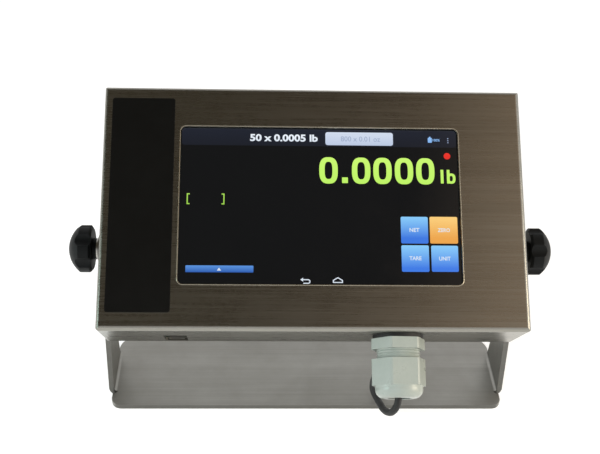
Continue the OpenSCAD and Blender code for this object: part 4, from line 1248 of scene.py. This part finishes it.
@dataclass
class Gland:
    """The cable gland in the head's underside, with fine grip ribs on its hexagonal cap. In mm."""

    axes: HeadAxes
    x: float = 47.0
    deep: float = 18.5
    across_flats: float = 27.0
    turn: float = math.radians(8.0)
    rib_top: float = 14.6
    rib_foot: float = 17.4
    rib_pitch: float = 0.85
    rib_wide: float = 0.42
    rib_out: float = 0.16
    rib_slope: float = 0.3
    ribs_each: int = 9
    sunk: float = -0.05

    def rib(self, form: bmesh.types.BMesh, side: int, place: float) -> None:
        """Adds one rounded rib.

        Args:
            form: The mesh under work.
            side: Which of the six flats.
            place: Along the flat from its middle.
        """
        angle = self.turn + math.radians(60 * side)
        out, along = Vector((math.cos(angle), math.sin(angle))), Vector((-math.sin(angle), math.cos(angle)))
        rows = []
        for down, lift in ((self.rib_top, self.sunk), (self.rib_top + self.rib_slope, 1.0),
                           (self.rib_foot - self.rib_slope, 1.0), (self.rib_foot, self.sunk)):
            row = []
            for share, height in ((-0.5, self.sunk), (-0.25, 0.8), (0.25, 0.8), (0.5, self.sunk)):
                high = self.rib_out * min(height, lift) if lift > 0 else self.sunk
                spot = out * (self.across_flats / 2 + high) + along * (place + share * self.rib_wide)
                row.append(form.verts.new(self.axes.point(self.x + spot.x, self.deep + spot.y, -down)))
            rows.append(row)
        for upper, lower in zip(rows, rows[1:]):
            for k in range(3):
                form.faces.new((upper[k], upper[k + 1], lower[k + 1], lower[k]))

    def grip_ribs(self, shop: Shop) -> None:
        """Makes the ribs on all six flats."""
        form = bmesh.new()
        for side in range(6):
            for i in range(self.ribs_each):
                self.rib(form, side, (i - (self.ribs_each - 1) / 2) * self.rib_pitch)
        bmesh.ops.recalc_face_normals(form, faces=form.faces[:])
        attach(shop.piece(settled(form, "gland_grip_ribs"), Skin.GLAND), "head")

    def build(self, shop: Shop) -> None:
        """Dresses the gland's solids and adds the ribs."""
        shop.dress(Skin.RUBBER, "gland_washer gland_seal")
        shop.dress(Skin.GLAND, "gland_body gland_locknut gland_claw gland_cap")
        self.grip_ribs(shop)


# ---- Bracket and knobs


@dataclass
class Stand:
    """The bent yoke bracket and the two hand knobs that clamp the head in it."""

    sides: tuple[str, ...] = ("left", "right")

    def build(self, shop: Shop) -> None:
        """Dresses bracket, grips, studs and washers."""
        shop.dress(Skin.BRACKET_SHEET, "yoke_bracket")
        for side in self.sides:
            shop.dress(Skin.KNOB, f"knob_grip_{side}")
            shop.dress(Skin.STEEL, f"knob_stud_{side} knob_washer_{side}")


# ---- Camera, lamps and floor


@dataclass
class Viewpoint:
    """The camera: in front of the object and above it, looking down, slightly turned and rolled."""

    spot: tuple[float, float, float] = (-0.03197, -0.46628, 0.46562)
    lens_mm: float = 62.015
    down: float = math.radians(36.784)
    yaw: float = math.radians(3.020)
    roll: float = math.radians(2.246)
    sensor_mm: float = 36.0
    nearest: float = 0.01
    farthest: float = 50.0

    def place(self) -> None:
        """Makes the camera and sets it as the scene's own."""
        way = Vector((math.sin(self.yaw) * math.cos(self.down), math.cos(self.yaw) * math.cos(self.down),
                      -math.sin(self.down)))
        level = Vector((math.cos(self.yaw), -math.sin(self.yaw), 0))
        upright = level.cross(way)
        right = level * math.cos(self.roll) + upright * math.sin(self.roll)
        up = upright * math.cos(self.roll) - level * math.sin(self.roll)
        eye = bpy.data.cameras.new("viewpoint")
        eye.lens, eye.sensor_width, eye.sensor_fit = self.lens_mm, self.sensor_mm, "HORIZONTAL"
        eye.clip_start, eye.clip_end = self.nearest, self.farthest
        made = put("viewpoint", eye)
        turn = Matrix((right, up, -way)).transposed().to_4x4()
        made.matrix_world = Matrix.Translation(Vector(self.spot)) @ turn
        bpy.context.scene.camera = made


@dataclass(frozen=True)
class Lamp:
    """A soft rectangular lamp aimed at a point, in metres and watts."""

    name: str
    spot: tuple[float, float, float]
    aim: tuple[float, float, float]
    wide: float
    high: float
    power: float
    colour: tuple[float, float, float] = (1.0, 1.0, 1.0)
    mirrored: bool = True

    def hang(self) -> None:
        """Makes the lamp."""
        light = bpy.data.lights.new(self.name, "AREA")
        light.shape, light.size, light.size_y = "RECTANGLE", self.wide, self.high
        light.energy, light.color = self.power, self.colour
        made = put(self.name, light)
        made.location = self.spot
        made.visible_glossy = self.mirrored
        made.rotation_euler = (Vector(self.aim) - Vector(self.spot)).to_track_quat("-Z", "Y").to_euler()


@dataclass
class Studio:
    """A pale floor in a white room, soft lamps, and a grey ceiling flag that the leaning steel mirrors."""

    lamps: tuple[Lamp, ...] = (
        Lamp("key", (-0.4, -0.8, 0.8), (0, 0, 0.06), 0.8, 0.6, 5.0, mirrored=False),
        Lamp("warm_side", (0.9, -0.3, 0.3), (0, 0, 0.1), 0.5, 0.5, 5.0, (1.0, 0.86, 0.66)),
        Lamp("cool_side", (-0.9, -0.3, 0.3), (0, 0, 0.1), 0.4, 0.4, 2.0, (0.74, 1.0, 0.97)),
    )
    room_level: float = 0.52
    floor_half: float = 3.0
    floor_drop: float = 0.0002
    floor_glow: float = 0.5
    flag_left: float = -5.0
    flag_right: float = 0.75
    flag_long: float = 2.6
    flag_y: float = -0.85
    flag_z: float = 1.15
    flag_tilt: float = math.radians(-20)
    flag_stops: tuple[tuple[float, float], ...] = (
        (-0.30, 0.108), (-0.05, 0.10), (0.10, 0.108), (0.20, 0.10), (0.282, 0.42), (0.42, 0.68),
    )

    def room(self) -> None:
        """Lights the world evenly, and shows it as pure white behind the object and in mirrors."""
        world = bpy.data.worlds.new("room")
        bpy.context.scene.world = world
        wires = Wiring(emptied(world))
        level = wires.remap(wires.seen(), 0.0, 1.0, self.room_level, 1.0)
        sky = wires.node("ShaderNodeBackground", {0: PURE_WHITE, 1: level})
        wires.node("ShaderNodeOutputWorld", {0: sky.outputs[0]})

    @staticmethod
    def panel(name: str, cells: int, half: float) -> tuple[bpy.types.Object, Wiring]:
        """Makes a flat square panel with one material.

        Args:
            name: The name of the panel and its material.
            cells: How many cells it has each way.
            half: Half its width, in metres.

        Returns:
            The panel, and the wiring of its still empty material.
        """
        form = bmesh.new()
        bmesh.ops.create_grid(form, x_segments=cells, y_segments=cells, size=half)
        made = put(name, settled(form, name))
        material = bpy.data.materials.new(name)
        made.data.materials.append(material)
        return made, Wiring(emptied(material))

    def floor(self) -> None:
        """Lays a wide pale floor that keeps the object's shadow and is white away from it."""
        made, wires = self.panel("floor", 8, self.floor_half)
        made.location.z = -self.floor_drop
        matt = wires.node("ShaderNodeBsdfDiffuse", {0: tone(236, 236, 234)})
        level = wires.math("MULTIPLY", wires.seen(), self.floor_glow)
        glow = wires.node("ShaderNodeEmission", {0: PURE_WHITE, 1: level})
        both = wires.node("ShaderNodeAddShader", {0: matt.outputs[0], 1: glow.outputs[0]})
        wires.node("ShaderNodeOutputMaterial", {0: both.outputs[0]})
        made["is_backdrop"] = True

    def flag(self) -> None:
        """Hangs the grey flag over the object, darker to the left, seen only in mirrors."""
        made, wires = self.panel("ceiling_flag", 2, 0.5)
        wide, middle = self.flag_right - self.flag_left, (self.flag_left + self.flag_right) / 2
        made.location = (middle, self.flag_y, self.flag_z)
        made.scale = (wide, self.flag_long, 1.0)
        made.rotation_euler = (self.flag_tilt, 0, 0)
        for way in ("visible_camera", "visible_diffuse", "visible_shadow", "visible_transmission"):
            setattr(made, way, False)
        first, last = self.flag_stops[0][0], self.flag_stops[-1][0]
        place = wires.remap(wires.axis(0), (first - middle) / wide, (last - middle) / wide, 0.0, 1.0)
        stops = []
        for spot, level in self.flag_stops:
            share = (spot - first) / (last - first)
            stops.append((share, (level, level * (0.85 - 0.1 * share), level * (0.59 - 0.05 * share), 1.0)))
        glow = wires.node("ShaderNodeEmission", {0: wires.ramp(place, stops, "EASE"), 1: 1.0})
        wires.node("ShaderNodeOutputMaterial", {0: glow.outputs[0]})
        made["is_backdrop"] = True

    def build(self) -> None:
        """Sets the room, the floor, the flag and the lamps."""
        bpy.context.scene.view_settings.view_transform = "Standard"
        self.room()
        self.floor()
        self.flag()
        for lamp in self.lamps:
            lamp.hang()


def corners() -> list[list[float]]:
    """Returns the lowest and highest corner of what is shown, as plain numbers."""
    return [list(corner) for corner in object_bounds()]


def main() -> None:
    logging.basicConfig(level=logging.INFO, format="%(name)s: %(message)s")
    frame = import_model()
    shop = Shop(frame)
    axes = HeadAxes()
    Viewpoint().place()
    SignalCable(axes).build(shop)
    Head(axes).build(shop)
    ScreenPicture(axes).build(shop)
    Gland(axes).build(shop)
    Stand().build(shop)
    Studio().build()
    bare = sorted(set(frame["nodes"]) - shop.dressed)
    log.info("solids without a finish: %s", bare or "none")


if __name__ == "__main__":
    main()
